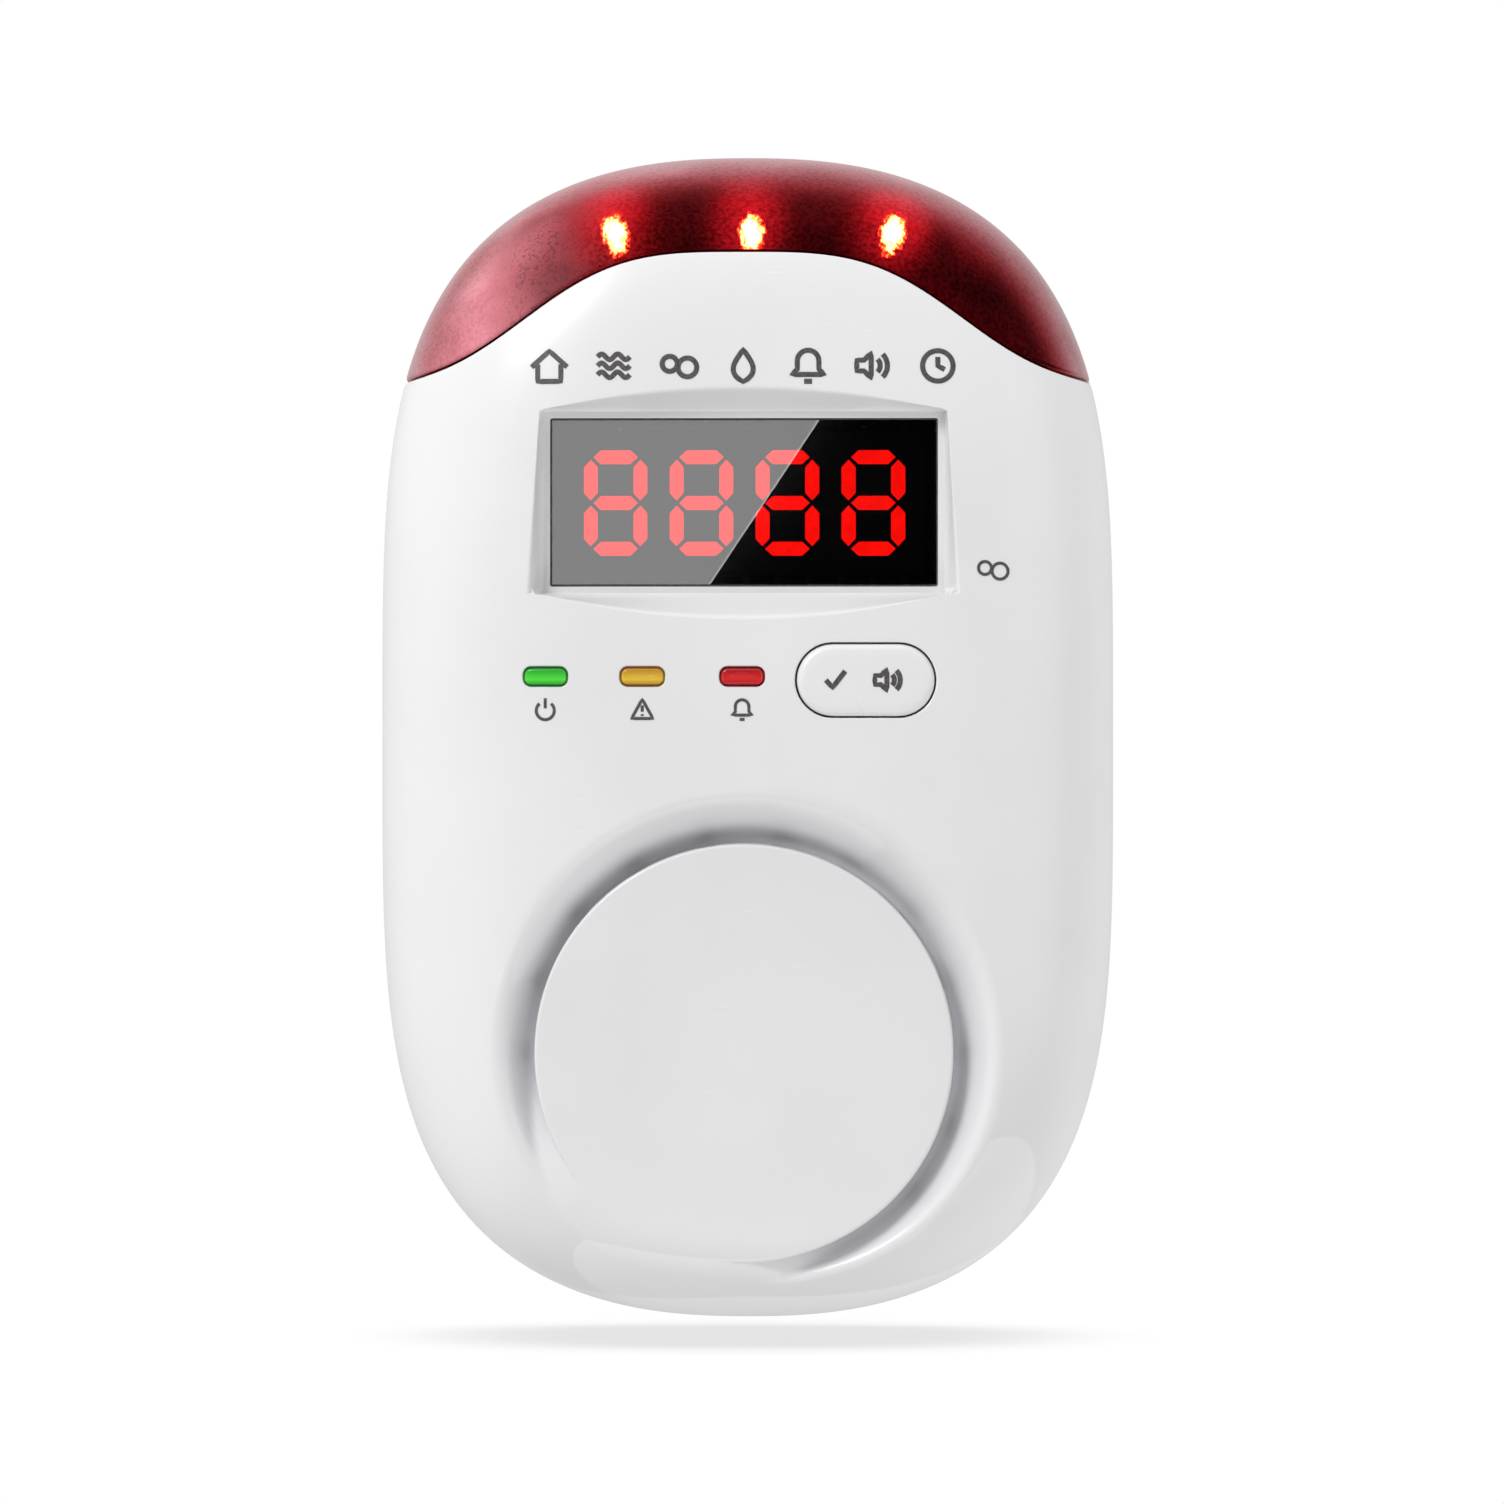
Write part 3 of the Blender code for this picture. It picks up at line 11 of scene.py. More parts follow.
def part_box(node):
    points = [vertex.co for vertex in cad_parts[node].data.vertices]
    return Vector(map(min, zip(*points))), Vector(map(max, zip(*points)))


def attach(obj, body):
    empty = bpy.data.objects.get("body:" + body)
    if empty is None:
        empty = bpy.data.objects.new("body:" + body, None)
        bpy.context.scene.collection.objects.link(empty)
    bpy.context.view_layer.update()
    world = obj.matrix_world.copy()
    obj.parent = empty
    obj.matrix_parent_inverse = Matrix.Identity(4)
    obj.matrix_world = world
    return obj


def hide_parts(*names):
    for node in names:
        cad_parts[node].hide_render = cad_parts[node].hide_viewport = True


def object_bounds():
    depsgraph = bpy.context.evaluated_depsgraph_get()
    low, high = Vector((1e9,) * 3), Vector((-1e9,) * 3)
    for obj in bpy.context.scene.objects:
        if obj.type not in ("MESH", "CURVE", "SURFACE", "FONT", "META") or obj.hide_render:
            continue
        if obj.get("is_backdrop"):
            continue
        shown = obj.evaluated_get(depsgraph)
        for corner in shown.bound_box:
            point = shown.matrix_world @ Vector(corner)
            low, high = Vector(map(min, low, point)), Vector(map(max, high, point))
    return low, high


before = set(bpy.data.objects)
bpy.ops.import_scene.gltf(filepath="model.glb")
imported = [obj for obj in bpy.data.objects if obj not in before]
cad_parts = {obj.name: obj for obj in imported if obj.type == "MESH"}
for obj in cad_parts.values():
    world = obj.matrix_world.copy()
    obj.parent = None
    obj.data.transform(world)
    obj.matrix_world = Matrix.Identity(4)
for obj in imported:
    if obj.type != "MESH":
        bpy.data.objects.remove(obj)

CAD_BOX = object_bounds()
MM = 0.001
WELD = 2e-8  # points closer than this become one
SAME_WAY = 0.85  # cosine between a face and the exact normal it may take
SMALLEST_CORNER = 0.02 * MM

# ---------------------------------------------------------------- sizes, from the frame

FRONT_LOW, FRONT_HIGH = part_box("front_cover")
REAR_LOW, REAR_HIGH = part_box("rear_cover")
WINDOW_LOW, WINDOW_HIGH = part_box("display_window")
BUTTON_LOW, BUTTON_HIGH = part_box("self_test_button")
INDICATORS = ("power", "fault", "alarm")

# The case outline is |x/a|^p + |z/b|^q = level, and the front dome rises from the parting line.
HALF_X, HALF_Z = REAR_HIGH.x, REAR_HIGH.z
OUTLINE_POWER_X, OUTLINE_POWER_Z = 2.42, 3.94
DOME_FLATNESS, DOME_POWER = 1.7, 2.8
GAP = 0.3 * MM
WALL = 2.0 * MM
PARTING_Y = FRONT_HIGH.y + GAP / 2
DOME_HEIGHT = PARTING_Y - FRONT_LOW.y
UNROLL = 0.66  # how far the steep sides are spread out when the dome is laid flat
STEP, CAP_STEP = 1.0 * MM, 6.0 * MM  # spacing of the points on a plain surface, and on the flat back
EDGE = 0.28 * MM  # rounding along the edges of the shells
LINE = 0.32 * MM  # open line between two shells

# How many points the long lines have.
FINE, FINEST = 4000, 6000  # lines that are only sampled
RIM_POINTS = {-1: 420, 1: 180}  # the rim below the bell curve, and above it
BELL_POINTS, BELL_EDGE_POINTS, TONGUE_POINTS = 200, 196, 160
MOUTH_POINTS, MOAT_POINTS, CHAMBER_POINTS, REAR_POINTS = 360, 300, 160, 240
FLOOR_EDGE_PARTS, CIRCLE_POINTS, ROUND_POINTS = 44, 48, 40
CORNER_PARTS = 10
ROLL_HALVINGS, RAY_HALVINGS, MOUTH_HALVINGS = 44, 48, 40  # steps of the searches by halving

# The strobe lens sits above a bell curve.
BELL_TOP_Z, BELL_DROP, BELL_WIDTH, BELL_POWER = 47.5 * MM, 12.6 * MM, 23.5 * MM, 3.5

# The window pocket: a flat floor, flanks that lean out, and top and bottom edges that bow.
LEDGE = 0.7 * MM
FLANK_RISE = 3.2 * MM
SIDE_FLANK = (1.65 * MM, 0.35 * MM)  # width at the foot and at the top
BOW_FLANK = (0.2 * MM, 1.9 * MM)  # width at the ends, and what the middle adds
WINDOW_MIDDLE = (WINDOW_LOW + WINDOW_HIGH) / 2
WINDOW_HALF = (WINDOW_HIGH - WINDOW_LOW) / 2

# The sounder disc leans a little, and a moat runs round it.
DISC_RADIUS = 20.4 * MM
DISC_CENTRE = Vector((0.0, -38.9, -30.8)) * MM
DISC_SLOPE_X, DISC_SLOPE_Z = 0.03, 0.085
DISC_EDGE, DISC_EDGE_SHARES = 0.3 * MM, (0.0, 0.4, 0.7, 0.9, 1.0)
DISC_REACH = DISC_RADIUS + 8 * MM  # the moat changes the cover's front no further out
MOAT_DEPTH, MOAT_FLOOR_WIDTH, MOAT_DRAFT = 3.2 * MM, 0.6 * MM, 0.8
MOAT_WALL_WIDTH, MOAT_FLOOR_BLEND, MOAT_BLEND = 0.12 * MM, 0.5 * MM, 1.6 * MM
MOAT_FADE_START, MOAT_FADE_END = (184.0, 222.0), (262.0, 300.0)  # degrees round the disc
PORT_ANGLES = range(-40, 181, 20)  # the sounder's slots in the disc's side wall
PORT_WIDTH, PORT_HEIGHTS = 1.6 * MM, (-2.7 * MM, -1.2 * MM)
POCKET_BLEND = 0.5 * MM
POCKET_STEEPEST = 8.0

FLANGE = 0.75 * MM  # what the hidden flanges of the button and the light pipes add on each side
BUTTON_PROUD = 0.3 * MM
PIPE_PROUD = 0.15 * MM

# The inside of the shells, and the places where their meshes need lines of their own.
BACK_STEP = 2.2 * MM
BACKING = 1.8 * MM
CHAMBER_RADIUS = 18.4 * MM  # the hollow behind the sounder disc
CHAMBER_EDGE = (-0.05 * MM, 0.1 * MM)
PORT_REACH = (CHAMBER_RADIUS - 1.5 * MM, DISC_RADIUS + MOAT_FLOOR_WIDTH / 2)
MOAT_FLOOR_WALL = 1.6 * MM
MOAT_BACKING_RADIUS = 24.8 * MM
MOAT_RINGS = (0.0, 0.23, 0.58, 0.9, 1.3, 1.7, 2.1, 2.5, 3.0, 3.6, 4.3, 5.0)  # mm past the disc's wall
ON_SURFACE = 2e-6  # points closer than this are on the surface

# Parts that show in the front.
ROUND_ENDED = 4.0 * MM
WINDOW_CORNER = 0.15 * MM
WINDOW_EDGE = 0.15 * MM
PIPE_CORNER = 0.6 * MM
PIPE_EDGE = 0.25 * MM
BUTTON_EDGE = 0.7 * MM
SLIDING_GAP = 0.17 * MM
FITTED_GAP = 0.22 * MM
FLANGE_THICK = 1.0 * MM
STEM_RADIUS = 1.8 * MM
BEHIND = 20.0 * MM  # a depth past every front surface
BUTTON_STEP, PIPE_STEP = 0.7 * MM, 0.5 * MM
BUTTON_PARTS, PIPE_PARTS = 16, 6  # how many parts the straight sides are cut into
PIPE_SLOTS = {"power": "green_pipe", "fault": "amber_pipe", "alarm": "red_pipe"}
PIPE_COLOURS = {  # bright and dark shade
    "power": ((0.07, 0.54, 0.045), (0.01, 0.24, 0.02)),
    "fault": ((0.57, 0.38, 0.04), (0.34, 0.15, 0.01)),
    "alarm": ((0.50, 0.02, 0.02), (0.26, 0.005, 0.01)),
}

# Rear cover and plug.
LIP_IN, LIP_WALL, LIP_HEIGHT = 2.35 * MM, 0.9 * MM, 2.2 * MM
REAR_FRONT_Y = REAR_LOW.y + LIP_HEIGHT
REAR_EDGE, REAR_DRAFT, REAR_WALL = 4.0 * MM, 0.5 * MM, 2.2 * MM
FAR = 60.0 * MM  # past the object on every side
SCREW_COUNT = 4
POST_RADIUS, POST_BORE = 4.4 * MM, 1.75 * MM
BOARD_POST_RADIUS = 2.4 * MM
COUNTERBORE, COUNTERBORE_DEPTH = 3.2 * MM, 8.0 * MM
VENT_COUNT, VENT_PITCH, VENT_WIDTH, VENT_Z = 6, 3.6 * MM, 1.6 * MM, -12.0 * MM
VENT_Y, VENT_CORNER = (-14.5 * MM, -6.5 * MM), 0.4 * MM
SIDE_VENT_REACH, FOOT_VENT_REACH = 4 * MM, 5 * MM  # how far a vent's tool goes through the wall
FOOT_VENT_X = (-12.0 * MM, -6.0 * MM, 0.0, 6.0 * MM, 12.0 * MM)
HOLDER_CORNER, HOLDER_EDGE = 2.5 * MM, 0.5 * MM
HOLDER_FLANGE, HOLDER_FLANGE_THICK = 1.8 * MM, 1.5 * MM
BLADES = ("live_blade", "neutral_blade")
BLADE_CLEARANCE, BLADE_EDGE = 0.15 * MM, 0.18 * MM
BLADE_HOLE_Y, BLADE_HOLE_RADIUS = 12.0 * MM, 1.6 * MM
BLADE_NOSE, BLADE_SLOT_CORNER = 1.6 * MM, 0.3 * MM

# Case screws: how wide the head is at each depth, as a share of its radius, and the rest as lengths.
SCREW_HEAD = ((0.45, 0.0), (0.75, 0.2 * MM), (0.93, 0.55 * MM), (1.0, 1.1 * MM), (1.0, 1.8 * MM))
SCREW_SHANK, SCREW_NECK, SCREW_TIP = 1.3 * MM, 1.5 * MM, 2.0 * MM
THREAD_STEP, THREAD_ROOT, SCREW_POINT = 0.5 * MM, 0.8, 0.3
CROSS_DEPTH, CROSS_OUT, CROSS_ARM, CROSS_HALF_WIDTH = 1.1 * MM, 1 * MM, 0.6, 0.17

# Strobe lens and lamps.
LAMPS = ("left", "centre", "right")
LENS_REDS = ((0.5, 0.004, 0.014, 1), (0.75, 0.012, 0.03, 1))
LENS_LIT_PALE, LENS_RIM_SHEEN = (1.0, 0.4, 0.47, 1), (0.5, 0.27, 0.29, 1)  # painted light on the pale left end, and a painted greyish sheen at the rim
# the specks' colour, and the painted shade of the dark patches
LENS_SPECKS, LENS_SHADE = (0.12, 0.06, 0.07, 1), (0.03, 0.002, 0.004, 1)
LENS_TINT, LENS_SHADE_TINT = (0.62, 0.08, 0.11, 1), (0.3, 0.02, 0.03, 1)  # of what's seen through it, plain and where painted shade darkens it
LENS_HAZE, LENS_GLOW, LENS_LIT = (0.12, 0.92), 1.6, (1.0, 0.02, 0.035, 1)
LENS_SHADE_SIDE = (-13 * MM, -8 * MM)  # the painted dark patches start between these
SPECKS_X, SPECKS_REACH = -18.5 * MM, 8 * MM  # a speckled patch in the part painted pale
LENS_IOR, LENS_GLOSS = 1.5, 0.3
LIT_PALE_SIDE = (-9 * MM, -28 * MM)  # where the lens is painted paler, as if lit, towards its left end
HALO_REACH, HALO_SQUASH = 7.5 * MM, 0.8
TONGUE_IN, TONGUE_WALL, TONGUE_LAP, TONGUE_TOP = 2.3 * MM, 0.8 * MM, 3.0 * MM, 0.2 * MM
TONGUE_SHORT = 0.5 * MM  # how far the tongue's ends stay off the rim
LAMP_RADIUS, LAMP_LEAN = 1.5 * MM, math.radians(9.0)
LAMP_SLIM, LAMP_SHORT, LAMP_LIFT = 0.97, 0.98, 0.1 * MM  # against the CAD lamp
LAMP_SEEN, LAMP_CAST = 4500.0, 2.0  # glow that the camera sees, and glow that lights what's nearby

# Painted shade in the recesses of the front cover, which also makes them duller.
RECESS_DULL = 0.7  # roughness gained
RECESS_REACH, RECESS_SHADE_TINT = 6.5 * MM, (0.75, 0.75, 0.77, 1)
RECESS_HEIGHT = (4.0 * MM, -2.0 * MM)  # the painted shade sets in between these heights

# Printed marks.
INK, INK_STEP = 0.035 * MM, 0.3 * MM  # how thick the ink stands, and how finely it follows the surface
BOLD_INK, FINE_INK = 0.5 * MM, 0.3 * MM
TITLE_Z, TITLE_SIZE, TITLE_PITCH = 36.1 * MM, 3.5 * MM, 6.3 * MM
LABEL_Z, LABEL_SIZE = 2.7 * MM, 2.2 * MM
UNIT_PLACE, UNIT_SIZE = (24.2 * MM, 16.3 * MM), 3.0 * MM
BUTTON_ICON_SIZE, TICK_X, SOUND_X = 2.9 * MM, -3.0 * MM, 2.2 * MM

# Camera, light and floor.
CAMERA_DISTANCE = 0.9
CAMERA_SIDE = math.radians(1.2)
SENSOR = 36.0
FRAME_WIDTH = 0.15  # width of the view at the parting line
AIM = Vector((0, 0, -1.5 * MM))  # the point in the middle of the view
LIGHTS = {  # place, size and power
    "key": ((-0.62, -0.78, 0.7), 0.45, 7.2),
    "top": ((0.0, -0.1, 0.9), 0.8, 1.5),
    "side": ((0.93, -0.36, 0.1), 0.7, 0.7),
    "low": ((0.15, -0.75, -0.75), 0.7, 2.9),
    "under": ((0.35, -0.45, -0.85), 0.6, 1.4),
}
SOFT_LIGHT = (0.45, 0.0, 1.35, 1.12, 0.36)  # a y, the distances from it, and the strengths there
DARK_GAP = (-1.0, 0.03, 0.4, 0.0, 0.6)  # the same for reflections: dark straight in front
FLOOR_HALF, FLOOR_FADE = 0.4, (0.09, 0.2)  # the floor fades out between these distances
FLOOR_DROP, FLOOR_BOUNCE = 2.2 * MM, 0.6
FLOOR_SHADE, FLOOR_SHADE_REACH = 0.78, 24.0 * MM  # the soft patch under the object
GLARE_EDGE = ((8.5 * MM, 33.0 * MM), (-5.4 * MM, 12.0 * MM))  # the slanting edge on the window
GLARE, GLARE_LEFT = 2.2, -30 * MM
GLARE_LINE, GLARE_LINE_PLACE = GLARE * 1.9, (0.02 * MM, 0.22 * MM)  # a brighter line along that edge


# ---------------------------------------------------------------- shape of the front


def mix(a, b, share):
    return a + (b - a) * share


def smooth_step(value, start, end):
    share = np.clip((value - start) / (end - start), 0, 1)
    return share * share * (3 - 2 * share)


def smooth_min(a, b, width):
    share = np.clip(0.5 + 0.5 * (b - a) / width, 0, 1)
    return mix(b, a, share) - width * share * (1 - share)


def level_of(x, z, inset=0.0):
    """0 at the middle of the case and 1 on its outline."""
    across = np.abs(x / (HALF_X - inset)) ** OUTLINE_POWER_X
    return across + np.abs(z / (HALF_Z - inset)) ** OUTLINE_POWER_Z


def rise_of(level):
    """1 at the middle of the dome and 0 at the parting line."""
    return np.maximum(0.0, 1 - level**DOME_FLATNESS) ** (1 / DOME_POWER)


def level_at_rise(rise):
    return (1 - rise**DOME_POWER) ** (1 / DOME_FLATNESS)


def dome_front(x, z, inset=0.0):
    """How far forward the plain dome reaches, as a positive distance along -Y."""
    return -PARTING_Y + (DOME_HEIGHT - inset) * rise_of(level_of(x, z, inset))


def dome_normal(x, z, inset=0.0):
    half_x, half_z = HALF_X - inset, HALF_Z - inset
    level = np.maximum(level_of(x, z, inset), 1e-9)
    rise = rise_of(level)
    steep = DOME_FLATNESS * level ** (DOME_FLATNESS - 1)
    nx = steep * OUTLINE_POWER_X * np.abs(x / half_x) ** (OUTLINE_POWER_X - 1) / half_x * np.sign(x)
    nz = steep * OUTLINE_POWER_Z * np.abs(z / half_z) ** (OUTLINE_POWER_Z - 1) / half_z * np.sign(z)
    ny = -DOME_POWER * rise ** (DOME_POWER - 1) / (DOME_HEIGHT - inset)
    normal = np.stack([nx, ny, nz], -1)
    return normal / np.maximum(np.linalg.norm(normal, axis=-1, keepdims=True), 1e-12)


def pocket_front(x, z):
    """The pocket's floor and the planes of its flanks, carried on outwards."""
    half_x = WINDOW_HALF.x + LEDGE
    half_z = WINDOW_HALF.z + LEDGE
    up = z - WINDOW_MIDDLE.z
    share = np.clip((up + half_z) / (2 * half_z), 0, 1)
    side_width = mix(*SIDE_FLANK, share)
    bow = np.maximum(0.0, 1 - (x / half_x) ** 2)
    bow_width = BOW_FLANK[0] + BOW_FLANK[1] * bow
    side = (np.abs(x) - half_x) / side_width
    ends = (np.abs(up) - half_z) / bow_width
    steep = np.maximum(np.maximum(side, ends), 0.0)
    return -WINDOW_LOW.y + np.minimum(steep, POCKET_STEEPEST) * FLANK_RISE


def disc_front(x, z):
    forward = -DISC_CENTRE.y - DISC_SLOPE_X * (x - DISC_CENTRE.x)
    return forward + DISC_SLOPE_Z * (z - DISC_CENTRE.z)


def moat_fade(x, z):
    """0 where the moat is deep and 1 at the lower left, where the disc runs into the cover."""
    degrees = np.degrees(np.arctan2(z - DISC_CENTRE.z, x - DISC_CENTRE.x)) % 360
    return smooth_step(degrees, *MOAT_FADE_START) - smooth_step(degrees, *MOAT_FADE_END)


def moat_front(x, z):
    """The disc, the moat's floor and its sloping outer wall, carried on outwards."""
    radius = np.hypot(x - DISC_CENTRE.x, z - DISC_CENTRE.z)
    depth = 1 - moat_fade(x, z)
    past_edge = np.clip((radius - DISC_RADIUS + DISC_EDGE) / DISC_EDGE, 0, 1)
    edge = -DISC_EDGE * (1 - np.sqrt(1 - past_edge**2)) * depth
    down = np.clip((radius - DISC_RADIUS) / MOAT_WALL_WIDTH, 0, 1)
    floor = edge - (MOAT_DEPTH * depth + edge) * down
    outer = (radius - DISC_RADIUS - MOAT_FLOOR_WIDTH) / MOAT_DRAFT - MOAT_DEPTH
    rounded = -smooth_min(-floor, -outer, MOAT_FLOOR_BLEND)
    profile = np.where(radius > DISC_RADIUS + MOAT_WALL_WIDTH, rounded, floor)
    return disc_front(x, z) + profile


def cover_front(x, z):
    """How far forward the front cover's surface reaches."""
    dome = dome_front(x, z)
    with_pocket = smooth_min(dome, pocket_front(x, z), POCKET_BLEND)
    near_disc = np.hypot(x - DISC_CENTRE.x, z - DISC_CENTRE.z) < DISC_REACH
    with_moat = smooth_min(dome, moat_front(x, z), MOAT_BLEND)
    return np.where(near_disc, with_moat, with_pocket)


def bell_z(x):
    return BELL_TOP_Z - BELL_DROP * (1 - np.exp(-((np.abs(x) / BELL_WIDTH) ** BELL_POWER)))


def bell_slope(x):
    share = np.abs(x) / BELL_WIDTH
    steep = BELL_POWER * share ** (BELL_POWER - 1) / BELL_WIDTH * np.sign(x)
    return -BELL_DROP * np.exp(-(share**BELL_POWER)) * steep


def fillet(distance, radius):
    """How far a rounded edge lies under the surface at a distance from the edge."""
    short = np.clip(radius - distance, 0, radius)
    return radius - np.sqrt(radius**2 - short**2)


FILLET_STEPS = tuple(1 - math.cos(math.radians(a)) for a in (0, 18, 36, 54, 72, 90))


# ---------------------------------------------------------------- laying the dome flat


def unroll(x, z):
    stretch = 1 + UNROLL * (1 - rise_of(np.minimum(level_of(x, z), 1.0)))
    return x * stretch, z * stretch


def roll(u, v):
    """The inverse of unroll, by halving."""
    low = np.full_like(u, 1 / (1 + UNROLL))
    high = np.ones_like(u)
    for _ in range(ROLL_HALVINGS):
        middle = (low + high) / 2
        stretch = 1 + UNROLL * (1 - rise_of(np.minimum(level_of(u * middle, v * middle), 1.0)))
        above = middle * stretch > 1
        high = np.where(above, middle, high)
        low = np.where(above, low, middle)
    return u * low, v * low


def ray_radius(angle, level=1.0, inset=0.0):
    """The distance from the middle to the outline along a polar angle."""
    cos, sin = np.cos(angle), np.sin(angle)
    low, high = np.zeros_like(angle), np.full_like(angle, 2 * HALF_Z)
    for _ in range(RAY_HALVINGS):
        middle = (low + high) / 2
        outside = level_of(cos * middle, sin * middle, inset) > level
        high = np.where(outside, middle, high)
        low = np.where(outside, low, middle)
    return low


def even_angles(start, end, count, inset=0.0):
    """Polar angles from start to end whose outline points are evenly spaced."""
    fine = np.linspace(start, end, FINE)
    radius = ray_radius(fine, 1.0, inset)
    x, z = radius * np.cos(fine), radius * np.sin(fine)
    length = np.concatenate([[0], np.cumsum(np.hypot(np.diff(x), np.diff(z)))])
    return np.interp(np.linspace(0, length[-1], count), length, fine)


def outline_points(angles, level=1.0, inset=0.0):
    radius = ray_radius(angles, level, inset)
    return np.stack([radius * np.cos(angles), radius * np.sin(angles)], -1)


# ---------------------------------------------------------------- building one closed piece


class Solid:
    """Points and faces of a piece, collected patch by patch and then welded."""

    def __init__(self):
        self.points, self.faces, self.count = [], [], 0

    def add(self, points):
        points = np.asarray(points, float)
        self.points.append(points)
        self.count += len(points)
        return np.arange(self.count - len(points), self.count)

    def strip(self, rings, closed=True):
        """Quads between rings of equal length, each ring an array of points."""
        rows = [self.add(ring) for ring in rings]
        count = len(rows[0])
        for near, far in zip(rows, rows[1:]):
            for i in range(count if closed else count - 1):
                j = (i + 1) % count
                self.faces.append((near[i], near[j], far[j], far[i]))

    def triangles(self, points, triangles):
        index = self.add(points)
        self.faces += [tuple(row) for row in index[triangles]]

    def cap(self, loops, place, depth, step=None):
        """Closes a flat area bounded by loops of 2-D points, the first round the outside."""

        def inside(flat):
            keep = in_loop(flat, loops[0])
            for hole in loops[1:]:
                keep &= ~in_loop(flat, hole)
            return keep

        flat, faces = triangulate(loops, inside, step or 1.0, fill=step is not None)
        self.triangles(place(flat, depth), faces)

    def plate(self, outer, rows, place, holes=(), step=None):
        """A plate from its front face, over its edge, to its back face.

        outer and holes give a loop for a margin; rows are (how far the edge is set in, depth)."""
        self.strip([place(outer(-inset), depth) for inset, depth in rows])
        for hole in holes:
            self.strip([place(hole(inset), depth) for inset, depth in rows])
        for (inset, depth), spacing in ((rows[0], step), (rows[-1], None)):
            loops = [outer(-inset)] + [hole(inset) for hole in holes]
            self.cap(loops, place, depth, spacing)

    def mesh(self, name, normals=None, angle=35.0):
        points = np.vstack(self.points)
        keys = np.round(points / WELD).astype(np.int64)
        _, first, index = np.unique(keys, axis=0, return_index=True, return_inverse=True)
        index = index.reshape(-1)
        faces = []
        for face in self.faces:
            corners = [int(index[i]) for i in face]
            kept = [c for k, c in enumerate(corners) if c != corners[k - 1]]
            if len(set(kept)) > 2:
                faces.append(kept)
        mesh = bpy.data.meshes.new(name)
        mesh.from_pydata(points[first].tolist(), [], faces)
        outward(mesh)
        shade(mesh, normals, angle)
        return mesh


def in_loop(points, loop):
    """Which 2-D points lie inside a closed loop, by counting crossings."""
    inside = np.zeros(len(points), bool)
    u, v = points[:, 0], points[:, 1]
    for (u0, v0), (u1, v1) in zip(loop, np.roll(loop, -1, axis=0)):
        if v0 != v1:
            crosses = (v0 > v) != (v1 > v)
            inside ^= crosses & (u < (u1 - u0) * (v - v0) / (v1 - v0) + u0)
    return inside


QUARTER = tuple(math.radians(a) for a in (0, 22.5, 45, 67.5, 90))


def edge_rows(radius, front=0.0, way=1):
    """Edge rows, each (how far it's set in, depth), over an edge rounded from front onwards."""
    return [(radius * (1 - math.sin(a)), front + way * radius * (1 - math.cos(a))) for a in QUARTER]


def round_rows(front, back, radius):
    """Edge rows for a plate whose front and back edges are both rounded."""
    rows = edge_rows(radius, front)
    return rows + [(inset, front + back - depth) for inset, depth in reversed(rows)]


def outward(mesh):
    maker = bmesh.new()
    maker.from_mesh(mesh)
    bmesh.ops.recalc_face_normals(maker, faces=maker.faces)
    if maker.calc_volume(signed=True) < 0:
        bmesh.ops.reverse_faces(maker, faces=maker.faces)
    maker.to_mesh(mesh)
    maker.free()


def shade(mesh, normals=None, angle=35.0):
    """Smooth shading with sharp edges.

    normals gives the exact normal, or zero, at each of an array of points."""
    mesh.shade_smooth()
    mesh.set_sharp_from_angle(angle=math.radians(angle))
    if normals is None:
        return
    points = np.zeros(len(mesh.vertices) * 3)
    mesh.vertices.foreach_get("co", points)
    corners = np.zeros(len(mesh.loops) * 3)
    mesh.corner_normals.foreach_get("vector", corners)
    corners = corners.reshape(-1, 3)
    vertex = np.zeros(len(mesh.loops), np.int64)
    mesh.loops.foreach_get("vertex_index", vertex)
    exact = normals(points.reshape(-1, 3))[vertex]
    use = (exact * corners).sum(1) > SAME_WAY
    corners[use] = exact[use]
    mesh.normals_split_custom_set(corners.tolist())


def piece(name, mesh, finish, node=None, body="alarm", slot=None):
    """Puts a mesh in the scene as part of the object."""
    made = bpy.data.objects.new(name, mesh)
    bpy.context.scene.collection.objects.link(made)
    mesh.materials.append(finish)
    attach(made, body)
    if node:
        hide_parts(node)
    return made


def triangulate(loops, inside, step, fill=True, closed=None, spread=None):
    """Triangles over a flat area. loops are arrays of 2-D points that become edges.

    inside(points) tells which points belong. Returns the points and the triangles."""
    loops = [np.asarray(loop, float) for loop in loops]
    closed = closed or [True] * len(loops)
    fixed = np.vstack(loops)
    edges, start = [], 0
    for loop, shut in zip(loops, closed):
        count = len(loop)
        edges += [(start + i, start + (i + 1) % count) for i in range(count if shut else count - 1)]
        start += count
    points = fixed
    if fill:
        points = np.vstack([fixed, filling(fixed, inside, step, spread)])
    made = delaunay_2d_cdt([Vector(p) for p in points / MM], edges, [], 0, 1e-5)
    verts, _, faces, origin = made[0], made[1], made[2], made[3]
    flat = np.array([v[:] for v in verts]) * MM
    for i, sources in enumerate(origin):
        if sources:
            flat[i] = points[sources[0]]
    faces = np.array([list(face) for face in faces if len(face) == 3])
    keep = inside(flat[faces].mean(1))
    return flat, faces[keep]


def filling(fixed, inside, step, spread):
    """Evenly spread points inside the area that stay off the fixed ones."""
    low, high = fixed.min(0), fixed.max(0)
    rows = np.arange(low[1], high[1], step * math.sqrt(3) / 2)
    points = []
    for i, v in enumerate(rows):
        u = np.arange(low[0] + (i % 2) * step / 2, high[0], step)
        points.append(np.stack([u, np.full_like(u, v)], -1))
    points = np.vstack(points)
    points = points[inside(points)]
    tree = KDTree(len(fixed))
    for i, (u, v) in enumerate(fixed):
        tree.insert((u, v, 0), i)
    tree.balance()
    spread = spread or 0.55 * step
    far = [tree.find((u, v, 0))[2] > spread for u, v in points]
    return points[np.array(far)]


# ---------------------------------------------------------------- outlines of the small openings


